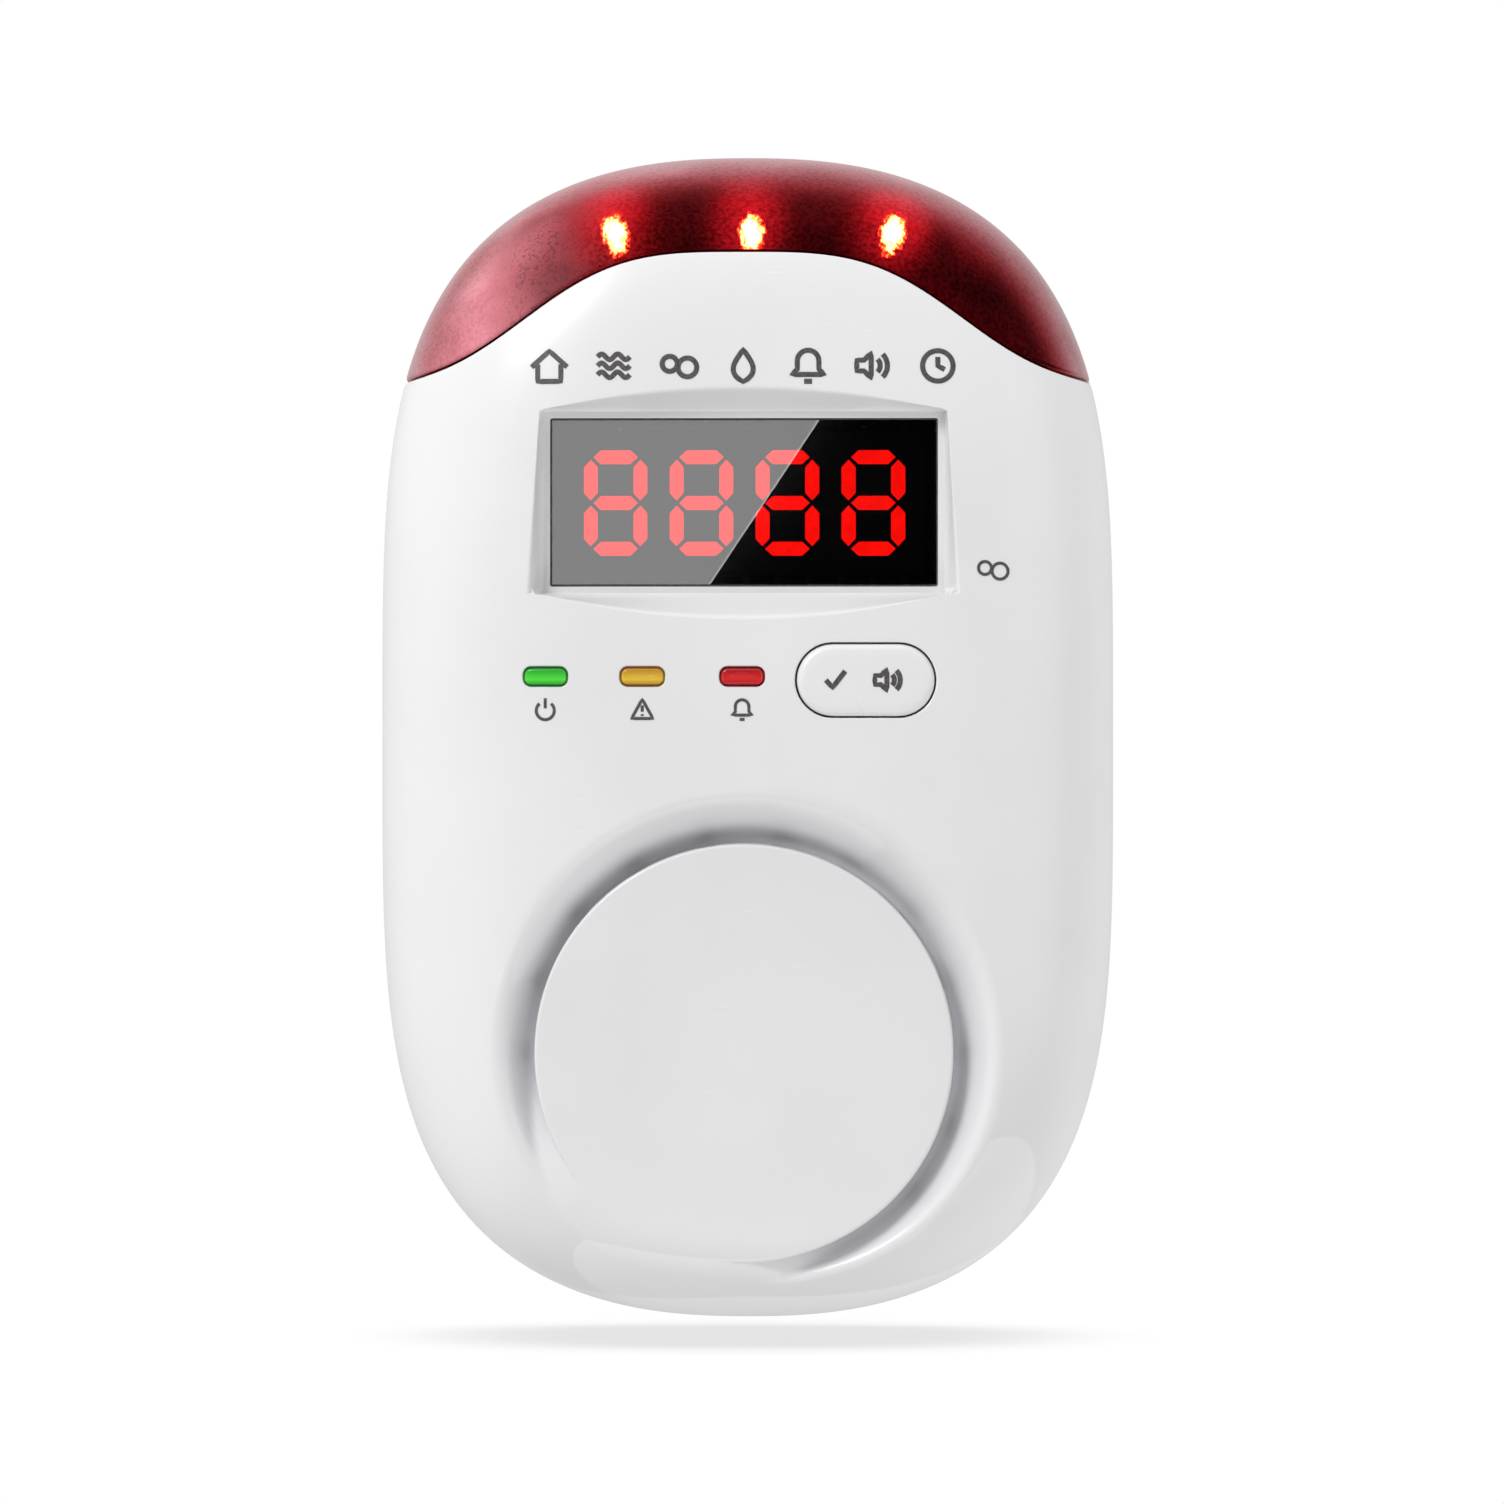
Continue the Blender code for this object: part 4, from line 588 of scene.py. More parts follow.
def rounded_rectangle(x, z, half_x, half_z, corner, margin=0.0, count=CORNER_PARTS, straight=6):
    """A loop grown by margin, with the same number of points for every margin."""
    corner = max(corner + margin, SMALLEST_CORNER)
    half_x, half_z = half_x + margin, half_z + margin
    loop = []
    for side_x, side_z, start in ((1, 1, 0), (-1, 1, 90), (-1, -1, 180), (1, -1, 270)):
        centre = np.array((x + side_x * (half_x - corner), z + side_z * (half_z - corner)))
        for i in range(count + 1):
            angle = math.radians(start + 90 * i / count)
            loop.append(centre + corner * np.array((math.cos(angle), math.sin(angle))))
    return with_straights(np.array(loop), straight, count + 1)


def with_straights(loop, parts, every):
    """Adds points along each straight side, which follows every run of corner points."""
    result = []
    for i, point in enumerate(loop):
        result.append(point)
        if (i + 1) % every == 0:
            following = loop[(i + 1) % len(loop)]
            result += [mix(point, following, k / parts) for k in range(1, parts)]
    return np.array(result)


def rectangle_distance(x, z, middle_x, middle_z, half_x, half_z, corner):
    """Signed distance to a rounded rectangle, positive outside."""
    dx = np.abs(x - middle_x) - half_x + corner
    dz = np.abs(z - middle_z) - half_z + corner
    outside = np.hypot(np.maximum(dx, 0), np.maximum(dz, 0))
    return outside + np.minimum(np.maximum(dx, dz), 0) - corner


def face_of(low, high, trim, corner):
    """The front face of a box, with its edges trimmed, as (x, z, half width, half height, corner)."""
    middle, half = (low + high) / 2, (high - low) / 2
    half_x, half_z = half.x - trim, half.z - trim
    return (middle.x, middle.z, half_x, half_z, min(corner, half_z))


BUTTON_FACE = face_of(BUTTON_LOW, BUTTON_HIGH, FLANGE, ROUND_ENDED)
WINDOW_FACE = face_of(WINDOW_LOW, WINDOW_HIGH, 0.0, WINDOW_CORNER)
PIPE_FACES = {name: face_of(*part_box(f"{name}_light_pipe"), FLANGE, PIPE_CORNER) for name in INDICATORS}
# Each opening is (face, gap round the part in it, edge rounding, parts of a straight side).
OPENINGS = [(BUTTON_FACE, SLIDING_GAP, 0.2 * MM, BUTTON_PARTS), (WINDOW_FACE, 0.06 * MM, 0.1 * MM, 40)]
OPENINGS += [(face, FITTED_GAP, 0.15 * MM, PIPE_PARTS) for face in PIPE_FACES.values()]


def opening_loop(opening, margin=0.0):
    face, gap, _, straight = opening
    return rounded_rectangle(*face, gap + margin, CORNER_PARTS, straight)


def opening_distance(opening, x, z):
    return rectangle_distance(x, z, *opening[0]) - opening[1]


# ---------------------------------------------------------------- front cover and lens shells


def bell_loop(inset, shift, offset, count):
    """Points along the bell curve moved up by shift and then sideways by offset, between the rims."""
    fine = np.linspace(-HALF_X, HALF_X, FINEST)
    slope = bell_slope(fine)
    length = np.hypot(1, slope)
    x, z = fine - slope / length * offset, bell_z(fine) + shift + offset / length
    keep = level_of(x, z, inset) < 1
    return evenly(x[keep], z[keep], count)


def evenly(x, z, count):
    """Resamples a line to evenly spaced points."""
    along = np.concatenate([[0], np.cumsum(np.hypot(np.diff(x), np.diff(z)))])
    even = np.linspace(0, along[-1], count)
    return np.stack([np.interp(even, along, x), np.interp(even, along, z)], -1)


def rim_loop(inset, ends, side, count, level=1.0):
    """Outline points between two end points, over the bottom (side -1) or over the top (side 1)."""
    left = math.atan2(ends[0][1], ends[0][0]) - (2 * math.pi if side < 0 else 0)
    right = math.atan2(ends[1][1], ends[1][0])
    return outline_points(even_angles(right, left, count, inset), level, inset)


class Sheet:
    """One face of a shell: the dome over the part below (side -1) or above (side 1) the bell."""

    def __init__(self, side, openings=(), lines=(), inset=0.0):
        self.side, self.openings, self.lines, self.inset = side, list(openings), list(lines), inset
        self.shift = side * LINE / 2
        self.bell = bell_loop(inset, self.shift, 0.0, BELL_POINTS)
        self.count = RIM_POINTS[side]
        self.wide, self.high = HALF_X / (HALF_X - inset), HALF_Z / (HALF_Z - inset)

    def border(self):
        rim = rim_loop(self.inset, (self.bell[0], self.bell[-1]), self.side, self.count)
        return np.vstack([self.bell, rim[1:-1]])

    def loops(self):
        """Every line that must be an edge of the mesh, as (points, whether it's closed)."""
        found = [(self.border(), True)]
        found += [(opening_loop(opening), True) for opening in self.openings]
        if self.inset == 0:
            found += self.edge_lines()
        return found + self.lines

    def edge_lines(self):
        """Lines along the rounded edges."""
        found = []
        ends = (self.bell[0], self.bell[-1])
        for share in FILLET_STEPS[1:]:
            level = level_at_rise((GAP / 2 + EDGE * share) / DOME_HEIGHT)
            rim = rim_loop(0.0, ends, self.side, self.count, level)
            off = (rim[:, 1] - bell_z(rim[:, 0]) - self.shift) * self.side > EDGE / 4
            line = bell_loop(0.0, self.shift, self.side * EDGE * share, BELL_EDGE_POINTS)
            inner = level_of(line[:, 0], line[:, 1]) < level
            found += [(rim[off], False), (line[inner], False)]
            found += [(opening_loop(opening, opening[2] * share), True) for opening in self.openings]
        return found

    def laid_flat(self, points):
        return np.stack(unroll(points[:, 0] * self.wide, points[:, 1] * self.high), -1)

    def picked_up(self, flat):
        x, z = roll(flat[:, 0], flat[:, 1])
        return np.stack([x / self.wide, z / self.high], -1)

    def inside(self, flat):
        points = self.picked_up(flat)
        rim_scale = 1 / (1 + UNROLL)
        keep = level_of(flat[:, 0] * rim_scale, flat[:, 1] * rim_scale) < 1
        keep &= (points[:, 1] - bell_z(points[:, 0]) - self.shift) * self.side > 0
        for opening in self.openings:
            keep &= opening_distance(opening, points[:, 0], points[:, 1]) > 0
        return keep

    def build(self, solid):
        """Adds the sheet and returns the 3-D points of its border and of each opening."""
        found = self.loops()
        flat_loops = [self.laid_flat(line) for line, _ in found]
        closed = [shut for _, shut in found]
        step = STEP if self.inset == 0 else BACK_STEP
        flat, faces = triangulate(flat_loops, self.inside, step, closed=closed)
        points = self.picked_up(flat)
        restore(points, flat, flat_loops, [line for line, _ in found])
        solid.triangles(self.lift(points), faces)
        rings = [self.border()] + [opening_loop(opening) for opening in self.openings]
        return [self.lift(ring) for ring in rings]

    def lift(self, points):
        """Moves (x, z) points to the surface, with its rounded edges."""
        x, z = points[:, 0], points[:, 1]
        if self.inset:
            forward = dome_front(x, z, self.inset)
            if self.side < 0:
                forward = np.minimum(forward, backing_front(x, z))
            return np.stack([x, -np.maximum(forward, -FRONT_HIGH.y), z], -1)
        forward = cover_front(x, z) if self.side < 0 else dome_front(x, z)
        forward = np.maximum(forward, -FRONT_HIGH.y)
        depth = self.rounding(x, z, forward)
        return np.stack([x, -forward, z], -1) - dome_normal(x, z) * depth[:, None]

    def rounding(self, x, z, forward):
        """How far the rounded edges lie under the surface."""
        bell = np.abs(z - bell_z(x) - self.shift) / np.hypot(1, bell_slope(x))
        depth = np.maximum(fillet(bell, EDGE), fillet(forward + FRONT_HIGH.y, EDGE))
        for opening in self.openings:
            depth = np.maximum(depth, fillet(np.abs(opening_distance(opening, x, z)), opening[2]))
        return depth

    def normals(self, points):
        """The exact normal at points on the plain surface, and zero elsewhere."""
        x, y, z = points.T
        normal = dome_normal(x, z)
        if self.side < 0:
            smooth = cover_normal(x, z)
            changed = np.abs(cover_front(x, z) - dome_front(x, z)) > ON_SURFACE / 4
            normal[changed] = smooth[changed]
            on_surface = np.abs(cover_front(x, z) + y) < ON_SURFACE
        else:
            on_surface = np.abs(dome_front(x, z) + y) < ON_SURFACE
        normal[~on_surface] = 0
        return normal


def restore(points, flat, flat_loops, loops):
    """Gives points on a known line the exact place that the line has."""
    known = {}
    for flat_line, line in zip(flat_loops, loops):
        known.update(zip(map(tuple, np.round(flat_line / MM, 4)), line))
    for i, key in enumerate(map(tuple, np.round(flat / MM, 4))):
        if key in known:
            points[i] = known[key]


def cover_normal(x, z):
    """The normal of the cover's front, or zero on a crease."""
    d = 0.003 * MM
    here = cover_front(x, z)
    left, right = here - cover_front(x - d, z), cover_front(x + d, z) - here
    down, up = here - cover_front(x, z - d), cover_front(x, z + d) - here
    normal = np.stack([-(left + right), np.full_like(x, -2 * d), up + down], -1)
    normal[:, 2] *= -1
    crease = np.maximum(np.abs(left - right), np.abs(up - down)) > 0.15 * np.linalg.norm(normal, axis=-1)
    normal /= np.linalg.norm(normal, axis=-1, keepdims=True)
    normal[crease] = 0
    return normal


def backing_front(x, z):
    """The inside of the cover behind the pocket and the moat."""
    pocket = pocket_front(x, z) - BACKING
    radius = np.hypot(x - DISC_CENTRE.x, z - DISC_CENTRE.z)
    behind = disc_front(x, z) - np.where(radius < CHAMBER_RADIUS, WALL, MOAT_DEPTH + MOAT_FLOOR_WALL)
    return np.where(radius < MOAT_BACKING_RADIUS, np.minimum(behind, pocket), pocket)


def circle_loop(x, z, radius, count=CIRCLE_POINTS):
    angle = 2 * math.pi * np.arange(count) / count
    return np.stack([x + radius * np.cos(angle), z + radius * np.sin(angle)], -1)


def circle_line(radius, count):
    """A circle round the middle of the sounder disc."""
    return circle_loop(DISC_CENTRE.x, DISC_CENTRE.z, radius, count)


def pocket_reach(angle, grow):
    """The distance from the window's middle to the pocket's floor edge grown by grow."""
    reach_x = (WINDOW_HALF.x + LEDGE + grow) / np.maximum(np.abs(np.cos(angle)), 1e-9)
    reach_z = (WINDOW_HALF.z + LEDGE + grow) / np.maximum(np.abs(np.sin(angle)), 1e-9)
    return np.minimum(reach_x, reach_z)


def pocket_mouth(value):
    """The line where the pocket's flank is higher than the dome by value."""
    angle = 2 * math.pi * np.arange(MOUTH_POINTS) / MOUTH_POINTS
    cos, sin = np.cos(angle), np.sin(angle)
    low, high = pocket_reach(angle, 0.01 * MM), pocket_reach(angle, 9 * MM)
    for _ in range(MOUTH_HALVINGS):
        middle = (low + high) / 2
        x, z = middle * cos, WINDOW_MIDDLE.z + middle * sin
        beyond = pocket_front(x, z) - dome_front(x, z) > value
        high = np.where(beyond, middle, high)
        low = np.where(beyond, low, middle)
    return np.stack([low * cos, WINDOW_MIDDLE.z + low * sin], -1)


def pocket_lines():
    """Lines along the edge of the pocket's floor and along its blended mouth."""
    half_x, half_z = WINDOW_HALF.x + LEDGE, WINDOW_HALF.z + LEDGE
    floor = rounded_rectangle(0.0, WINDOW_MIDDLE.z, half_x, half_z, 0.0, 0.0, 1, FLOOR_EDGE_PARTS)
    mouths = [pocket_mouth(share * POCKET_BLEND) for share in (-1.0, -0.5, 0.0, 0.5, 1.0)]
    return [(line, True) for line in [floor, *mouths]]


def moat_lines():
    """Rings over the disc's rounded edge, the moat's floor and its outer wall."""
    radii = [DISC_RADIUS - DISC_EDGE * (1 - share) for share in DISC_EDGE_SHARES]
    radii += [DISC_RADIUS + MOAT_WALL_WIDTH + step * MM for step in MOAT_RINGS]
    return [(circle_line(radius, MOAT_POINTS), True) for radius in radii]


def make_front_cover(finish):
    solid = Solid()
    sheet = Sheet(-1, OPENINGS, pocket_lines() + moat_lines())
    front = sheet.build(solid)
    chamber = [(circle_line(CHAMBER_RADIUS + step, CHAMBER_POINTS), True) for step in CHAMBER_EDGE]
    back = Sheet(-1, OPENINGS, chamber, inset=WALL).build(solid)
    for outer, inner in zip(front, back):
        solid.strip([outer, inner])
    cover = temporary(solid, "front_cover_closed")
    mesh = cut_out(cover, make_ports(), sheet.normals)
    return piece("front_cover_shell", mesh, finish, "front_cover", slot="white_plastic")


def make_ports():
    """The sounder's slots through the disc's side wall, as one Boolean tool."""
    solid = Solid()
    low, high = PORT_HEIGHTS
    for angle in np.radians(PORT_ANGLES):
        rings = []
        for radius in PORT_REACH:
            half = math.atan(PORT_WIDTH / 2 / radius)
            corners = ((-half, low), (half, low), (half, high), (-half, high))
            rings.append(np.array([on_disc(radius, angle + turn, height) for turn, height in corners]))
        solid.strip(rings)
        solid.faces += [tuple(solid.add(ring)) for ring in rings]
    return temporary(solid, "sounder_ports")


def on_disc(radius, angle, height):
    """A point over the sounder disc's face, in polar coordinates round its middle."""
    x, z = DISC_CENTRE.x + radius * math.cos(angle), DISC_CENTRE.z + radius * math.sin(angle)
    return x, -disc_front(x, z) - height, z


def make_strobe_lens(finish):
    solid = Solid()
    sheet = Sheet(1)
    front, back = sheet.build(solid), Sheet(1, inset=WALL).build(solid)
    solid.strip([front[0], back[0]])
    mesh = solid.mesh("strobe_lens_shell", sheet.normals)
    # The tongue is painted near black, as painted shade, so the line between lens and cover reads dark.
    dark_red = moulded("lens_tongue_painted_shade", (0.04, 0.002, 0.004), 0.4).material
    piece("strobe_lens_tongue", make_tongue(), dark_red, slot="red_lens")
    return piece("strobe_lens_shell", mesh, finish, "strobe_lens", slot="red_lens")


def make_tongue():
    """The band on the lens that laps behind the cover's edge and closes the line between them."""
    line = bell_loop(TONGUE_IN + TONGUE_WALL + TONGUE_SHORT, 0.0, 0.0, TONGUE_POINTS)
    x = line[:, 0]
    corners = []
    for inset, shift in (
        (TONGUE_IN, -TONGUE_LAP),
        (TONGUE_IN, TONGUE_TOP),
        (TONGUE_IN + TONGUE_WALL, TONGUE_TOP),
        (TONGUE_IN + TONGUE_WALL, -TONGUE_LAP),
    ):
        z = line[:, 1] + shift
        forward = np.maximum(dome_front(x, z, inset), -FRONT_HIGH.y)
        corners.append(np.stack([x, -forward, z], -1))
    solid = Solid()
    rings = np.stack(corners, 1)
    solid.strip(rings)
    for end in (0, -1):
        solid.faces.append(tuple(solid.add(rings[end])))
    return solid.mesh("strobe_lens_tongue")


# ---------------------------------------------------------------- window, button and indicators


def at_y(points, y):
    """Lays (x, z) points on a plane of constant y."""
    return np.stack([points[:, 0], np.full(len(points), y), points[:, 1]], -1)


def face_loop(face, straight):
    """A function that gives the border of a face grown by a margin."""
    return lambda margin: rounded_rectangle(*face, margin, CORNER_PARTS, straight)


def facing_front(y):
    """Exact normals for a flat face at depth y that looks along -Y."""
    return lambda points: np.where(np.abs(points[:, 1:2] - y) < ON_SURFACE, (0.0, -1.0, 0.0), 0.0)


def make_window(finish):
    solid = Solid()
    rows = round_rows(WINDOW_LOW.y, WINDOW_HIGH.y, WINDOW_EDGE)
    solid.plate(face_loop(WINDOW_FACE, 8), rows, at_y)
    mesh = solid.mesh("window_plate", facing_front(WINDOW_LOW.y))
    return piece("window_plate", mesh, finish, "display_window", slot="smoked_window")


def on_dome(proud, seat_y):
    """A placing that follows the dome, raised by proud, but never lies behind seat_y."""

    def place(points, depth):
        x, z = points[:, 0], points[:, 1]
        y = np.minimum(-dome_front(x, z) - proud + depth, seat_y)
        if depth > BEHIND:
            y = np.full(len(points), seat_y + depth - 2 * BEHIND)
        return np.stack([x, y, z], -1)

    return place


def capped_button_rows(edge):
    """Edge rows from a rounded front edge down to the flange and round it."""
    deep = 2 * BEHIND
    return edge_rows(edge) + [(0.0, deep), (-FLANGE, deep), (-FLANGE, deep + FLANGE_THICK)]


def make_push_piece(name, face, proud, edge, straight, stem, tip_y, step):
    """A piece that shows in an opening: a rounded face, a hidden flange, and a stem behind."""
    solid = Solid()
    border = face_loop(face, straight)(FLANGE)
    seat_y = (-dome_front(border[:, 0], border[:, 1], WALL)).max() + GAP
    place = on_dome(proud, seat_y)
    outer, rows = face_loop(face, straight), capped_button_rows(edge)
    solid.strip([place(outer(-inset), depth) for inset, depth in rows])
    solid.cap([outer(-rows[0][0])], place, rows[0][1], step)
    back_y = seat_y + FLANGE_THICK
    solid.cap([outer(FLANGE), stem], at_y, back_y)
    solid.strip([at_y(stem, back_y), at_y(stem, tip_y)])
    solid.cap([stem], at_y, tip_y)
    return solid.mesh(name)


def make_button(finish):
    x, z = BUTTON_FACE[:2]
    stem, shape = circle_loop(x, z, STEM_RADIUS), (BUTTON_PROUD, BUTTON_EDGE, BUTTON_PARTS)
    mesh = make_push_piece("button_cap", BUTTON_FACE, *shape, stem, BUTTON_HIGH.y, BUTTON_STEP)
    return piece("button_cap", mesh, finish, "self_test_button", "button", "button_plastic")


def make_light_pipe(name, finish):
    face = PIPE_FACES[name]
    stem, shape = rounded_rectangle(*face, 0.0, 6, PIPE_PARTS), (PIPE_PROUD, PIPE_EDGE, PIPE_PARTS)
    tip_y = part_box(f"{name}_light_pipe")[1].y
    made = f"{name}_pipe"
    mesh = make_push_piece(made, face, *shape, stem, tip_y, PIPE_STEP)
    return piece(made, mesh, finish, f"{name}_light_pipe", slot=PIPE_SLOTS[name])


# ---------------------------------------------------------------- rear cover, plug and screws


def boolean(target, tool, operation):
    """Applies one exact Boolean to target's mesh and removes the tool."""
    modifier = target.modifiers.new("boolean", "BOOLEAN")
    modifier.operation, modifier.solver, modifier.object = operation, "EXACT", tool
    graph = bpy.context.evaluated_depsgraph_get()
    made = bpy.data.meshes.new_from_object(target.evaluated_get(graph))
    target.modifiers.clear()
    target.data = made
    bpy.data.objects.remove(tool)
    return made


def temporary(solid, name):
    """A plain object that only serves as a Boolean target or tool."""
    made = bpy.data.objects.new(name, solid.mesh(name))
    bpy.context.scene.collection.objects.link(made)
    return made


def cut_out(target, tool, normals=None, angle=35.0):
    """Takes the tool away from target's mesh and gives that mesh back, shaded; target goes."""
    mesh = boolean(target, tool, "DIFFERENCE")
    bpy.data.objects.remove(target)
    mesh.materials.clear()
    shade(mesh, normals, angle)
    return mesh


def rod(solid, loop, start, end, place=at_y):
    """A straight bar with closed ends, along Y unless place says otherwise."""
    solid.strip([place(loop, start), place(loop, end)])
    solid.cap([loop], place, start)
    solid.cap([loop], place, end)


def rear_inset(y):
    """How far the rear cover's outer wall is set in at depth y, with the draft and the rounded edge."""
    along = np.clip((y + REAR_EDGE) / REAR_EDGE, 0, 1)
    draft = REAR_DRAFT * np.clip((y - REAR_FRONT_Y) / (-REAR_EDGE - REAR_FRONT_Y), 0, 1)
    return draft + REAR_EDGE * (1 - np.sqrt(1 - along**2))


def rear_angles():
    return even_angles(0, 2 * math.pi, REAR_POINTS + 1)[:-1]


def rear_rings(angles):
    """The outer wall's rings from the parting line to the flat rear face."""
    wall = np.linspace(REAR_FRONT_Y + EDGE, -REAR_EDGE, 8)[1:]
    edge = [-REAR_EDGE * (1 - math.sin(turn)) for turn in np.radians(np.arange(9, 91, 9))]
    rings = edge_rows(EDGE, REAR_FRONT_Y) + [(float(rear_inset(y)), y) for y in [*wall, *edge]]
    return [at_y(outline_points(angles, 1.0, inset), y) for inset, y in rings]


def make_rear_shell():
    """The rear cover as a closed thin shell with no openings."""
    solid = Solid()
    angles = rear_angles()
    outer = rear_rings(angles)
    floor_y = -REAR_WALL
    inner = [(WALL, REAR_FRONT_Y), (WALL + REAR_DRAFT, -REAR_EDGE), (REAR_EDGE, floor_y)]
    inner = [at_y(outline_points(angles, 1.0, inset), y) for inset, y in inner]
    solid.strip(outer)
    solid.strip(inner)
    solid.strip([outer[0], inner[0]])
    solid.cap([outer[-1][:, [0, 2]]], at_y, 0.0, CAP_STEP)
    solid.cap([inner[-1][:, [0, 2]]], at_y, floor_y)
    return temporary(solid, "rear_cover_shell")


def middle_of(node):
    """The middle of a node as (x, z)."""
    low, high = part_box(node)
    return (low.x + high.x) / 2, (low.z + high.z) / 2


def screw_places():
    return [middle_of(f"case_screw_{i + 1}") for i in range(SCREW_COUNT)]


def make_posts():
    """The screw posts, the board posts and the lip, as one Boolean tool."""
    solid = Solid()
    foot_y, board_y = -REAR_WALL / 2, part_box("power_board")[1].y + GAP
    for place in screw_places():
        rod(solid, circle_loop(*place, POST_RADIUS), foot_y, REAR_FRONT_Y + GAP)
    for side in ("left", "right"):
        place = middle_of(f"power_board_screw_{side}")
        rod(solid, circle_loop(*place, BOARD_POST_RADIUS), foot_y, board_y)
    profile = [(LIP_IN, -LIP_HEIGHT), (LIP_IN, GAP), (WALL / 2, GAP), (WALL / 2, LIP_HEIGHT)]
    profile += [(LIP_IN + LIP_WALL, LIP_HEIGHT), (LIP_IN + LIP_WALL, -LIP_HEIGHT)]
    angles = rear_angles()
    rings = [at_y(outline_points(angles, 1.0, inset), REAR_FRONT_Y + y) for inset, y in profile]
    solid.strip(rings + rings[:1])
    return temporary(solid, "posts")


def along_x(x_from, x_to):
    """A placing for plates that stand in the (y, z) plane."""

    def place(points, depth):
        x = mix(x_from, x_to, depth)
        return np.stack([np.full(len(points), x), points[:, 0], points[:, 1]], -1)

    return place


def along_z(z_from, z_to):
    """A placing for plates that lie in the (x, y) plane."""

    def place(points, depth):
        z = mix(z_from, z_to, depth)
        return np.stack([points[:, 0], points[:, 1], np.full(len(points), z)], -1)

    return place


def make_rear_openings():
    """Bores, counterbores, vents and the plug's opening, as one Boolean tool."""
    solid = Solid()
    for x, z in screw_places():
        rings = [(POST_BORE, -FAR), (POST_BORE, -COUNTERBORE_DEPTH)]
        rings += [(COUNTERBORE, -COUNTERBORE_DEPTH), (COUNTERBORE, FAR)]
        solid.strip([at_y(circle_loop(x, z, radius), y) for radius, y in rings])
        for radius, y in (rings[0], rings[-1]):
            solid.cap([circle_loop(x, z, radius)], at_y, y)
    rod(solid, holder_loop(GAP / 2), -REAR_WALL - WALL, FAR)
    middle_y, half_y = (VENT_Y[0] + VENT_Y[1]) / 2, (VENT_Y[1] - VENT_Y[0]) / 2
    for side in (-1, 1):
        place = along_x(side * (HALF_X - SIDE_VENT_REACH), side * (HALF_X + SIDE_VENT_REACH))
        for i in range(VENT_COUNT):
            z = VENT_Z + (i - (VENT_COUNT - 1) / 2) * VENT_PITCH
            slot = rounded_rectangle(middle_y, z, half_y, VENT_WIDTH / 2, VENT_CORNER, 0.0, 5, 4)
            rod(solid, slot, 0.0, 1.0, place)
    place = along_z(-HALF_Z + FOOT_VENT_REACH, -HALF_Z - FOOT_VENT_REACH)
    for x in FOOT_VENT_X:
        slot = rounded_rectangle(x, middle_y, VENT_WIDTH / 2, half_y, VENT_CORNER, 0.0, 5, 4)
        rod(solid, slot, 0.0, 1.0, place)
    return temporary(solid, "rear_openings")


def rear_normals(points):
    """The exact normal on the rear cover's outer wall and rounded edge, and zero elsewhere."""
    x, y, z = points.T
    inset = rear_inset(y)
    half_x, half_z = HALF_X - inset, HALF_Z - inset
    nx = OUTLINE_POWER_X * np.abs(x / half_x) ** (OUTLINE_POWER_X - 1) / half_x * np.sign(x)
    nz = OUTLINE_POWER_Z * np.abs(z / half_z) ** (OUTLINE_POWER_Z - 1) / half_z * np.sign(z)
    flat = np.maximum(np.hypot(nx, nz), 1e-9)
    back = np.clip((y + REAR_EDGE) / REAR_EDGE, 0, 1)
    out = np.sqrt(1 - back**2)
    normal = np.stack([nx / flat * out, back, nz / flat * out], -1)
    level = np.abs(x / half_x) ** OUTLINE_POWER_X + np.abs(z / half_z) ** OUTLINE_POWER_Z
    on_wall = (np.abs(level - 1) < 2e-3) & (y > REAR_FRONT_Y + EDGE - 1e-6)
    normal[~on_wall] = 0
    normal[y > -1e-7] = (0, 1, 0)
    return normal


def make_rear_cover(finish):
    cover = make_rear_shell()
    boolean(cover, make_posts(), "UNION")
    mesh = cut_out(cover, make_rear_openings(), rear_normals, 30.0)
    return piece("rear_cover_body", mesh, finish, "rear_cover", slot="white_plastic")


def holder_loop(margin):
    low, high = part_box("blade_holder")
    middle, half = (low + high) / 2, (high - low) / 2
    half_x, half_z = half.x - HOLDER_FLANGE, half.z - HOLDER_FLANGE
    return rounded_rectangle(middle.x, middle.z, half_x, half_z, HOLDER_CORNER, margin, 10, 8)


def make_holder(finish):
    solid = Solid()
    low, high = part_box("blade_holder")
    flange_y = -REAR_WALL - GAP
    flange_end = flange_y - HOLDER_FLANGE_THICK
    rows = edge_rows(HOLDER_EDGE, high.y, -1) + [(0.0, flange_y), (-HOLDER_FLANGE, flange_y)]
    rows += [(-HOLDER_FLANGE, flange_end), (0.0, flange_end), (0.0, low.y)]
    solid.strip([at_y(holder_loop(-inset), y) for inset, y in rows])
    slots = []
    for name in BLADES:
        x, z, half_x, half_z, _ = face_of(*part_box(name), -BLADE_CLEARANCE, 0.0)
        slots.append(rounded_rectangle(x, z, half_x, half_z, BLADE_SLOT_CORNER, 0.0, 4, 4))
        solid.strip([at_y(slots[-1], high.y), at_y(slots[-1], low.y)])
    solid.cap([holder_loop(-HOLDER_EDGE), *slots], at_y, high.y)
    solid.cap([holder_loop(0.0), *slots], at_y, low.y)
    mesh = solid.mesh("blade_holder_body")
    return piece("blade_holder_body", mesh, finish, "blade_holder", slot="black_plastic")


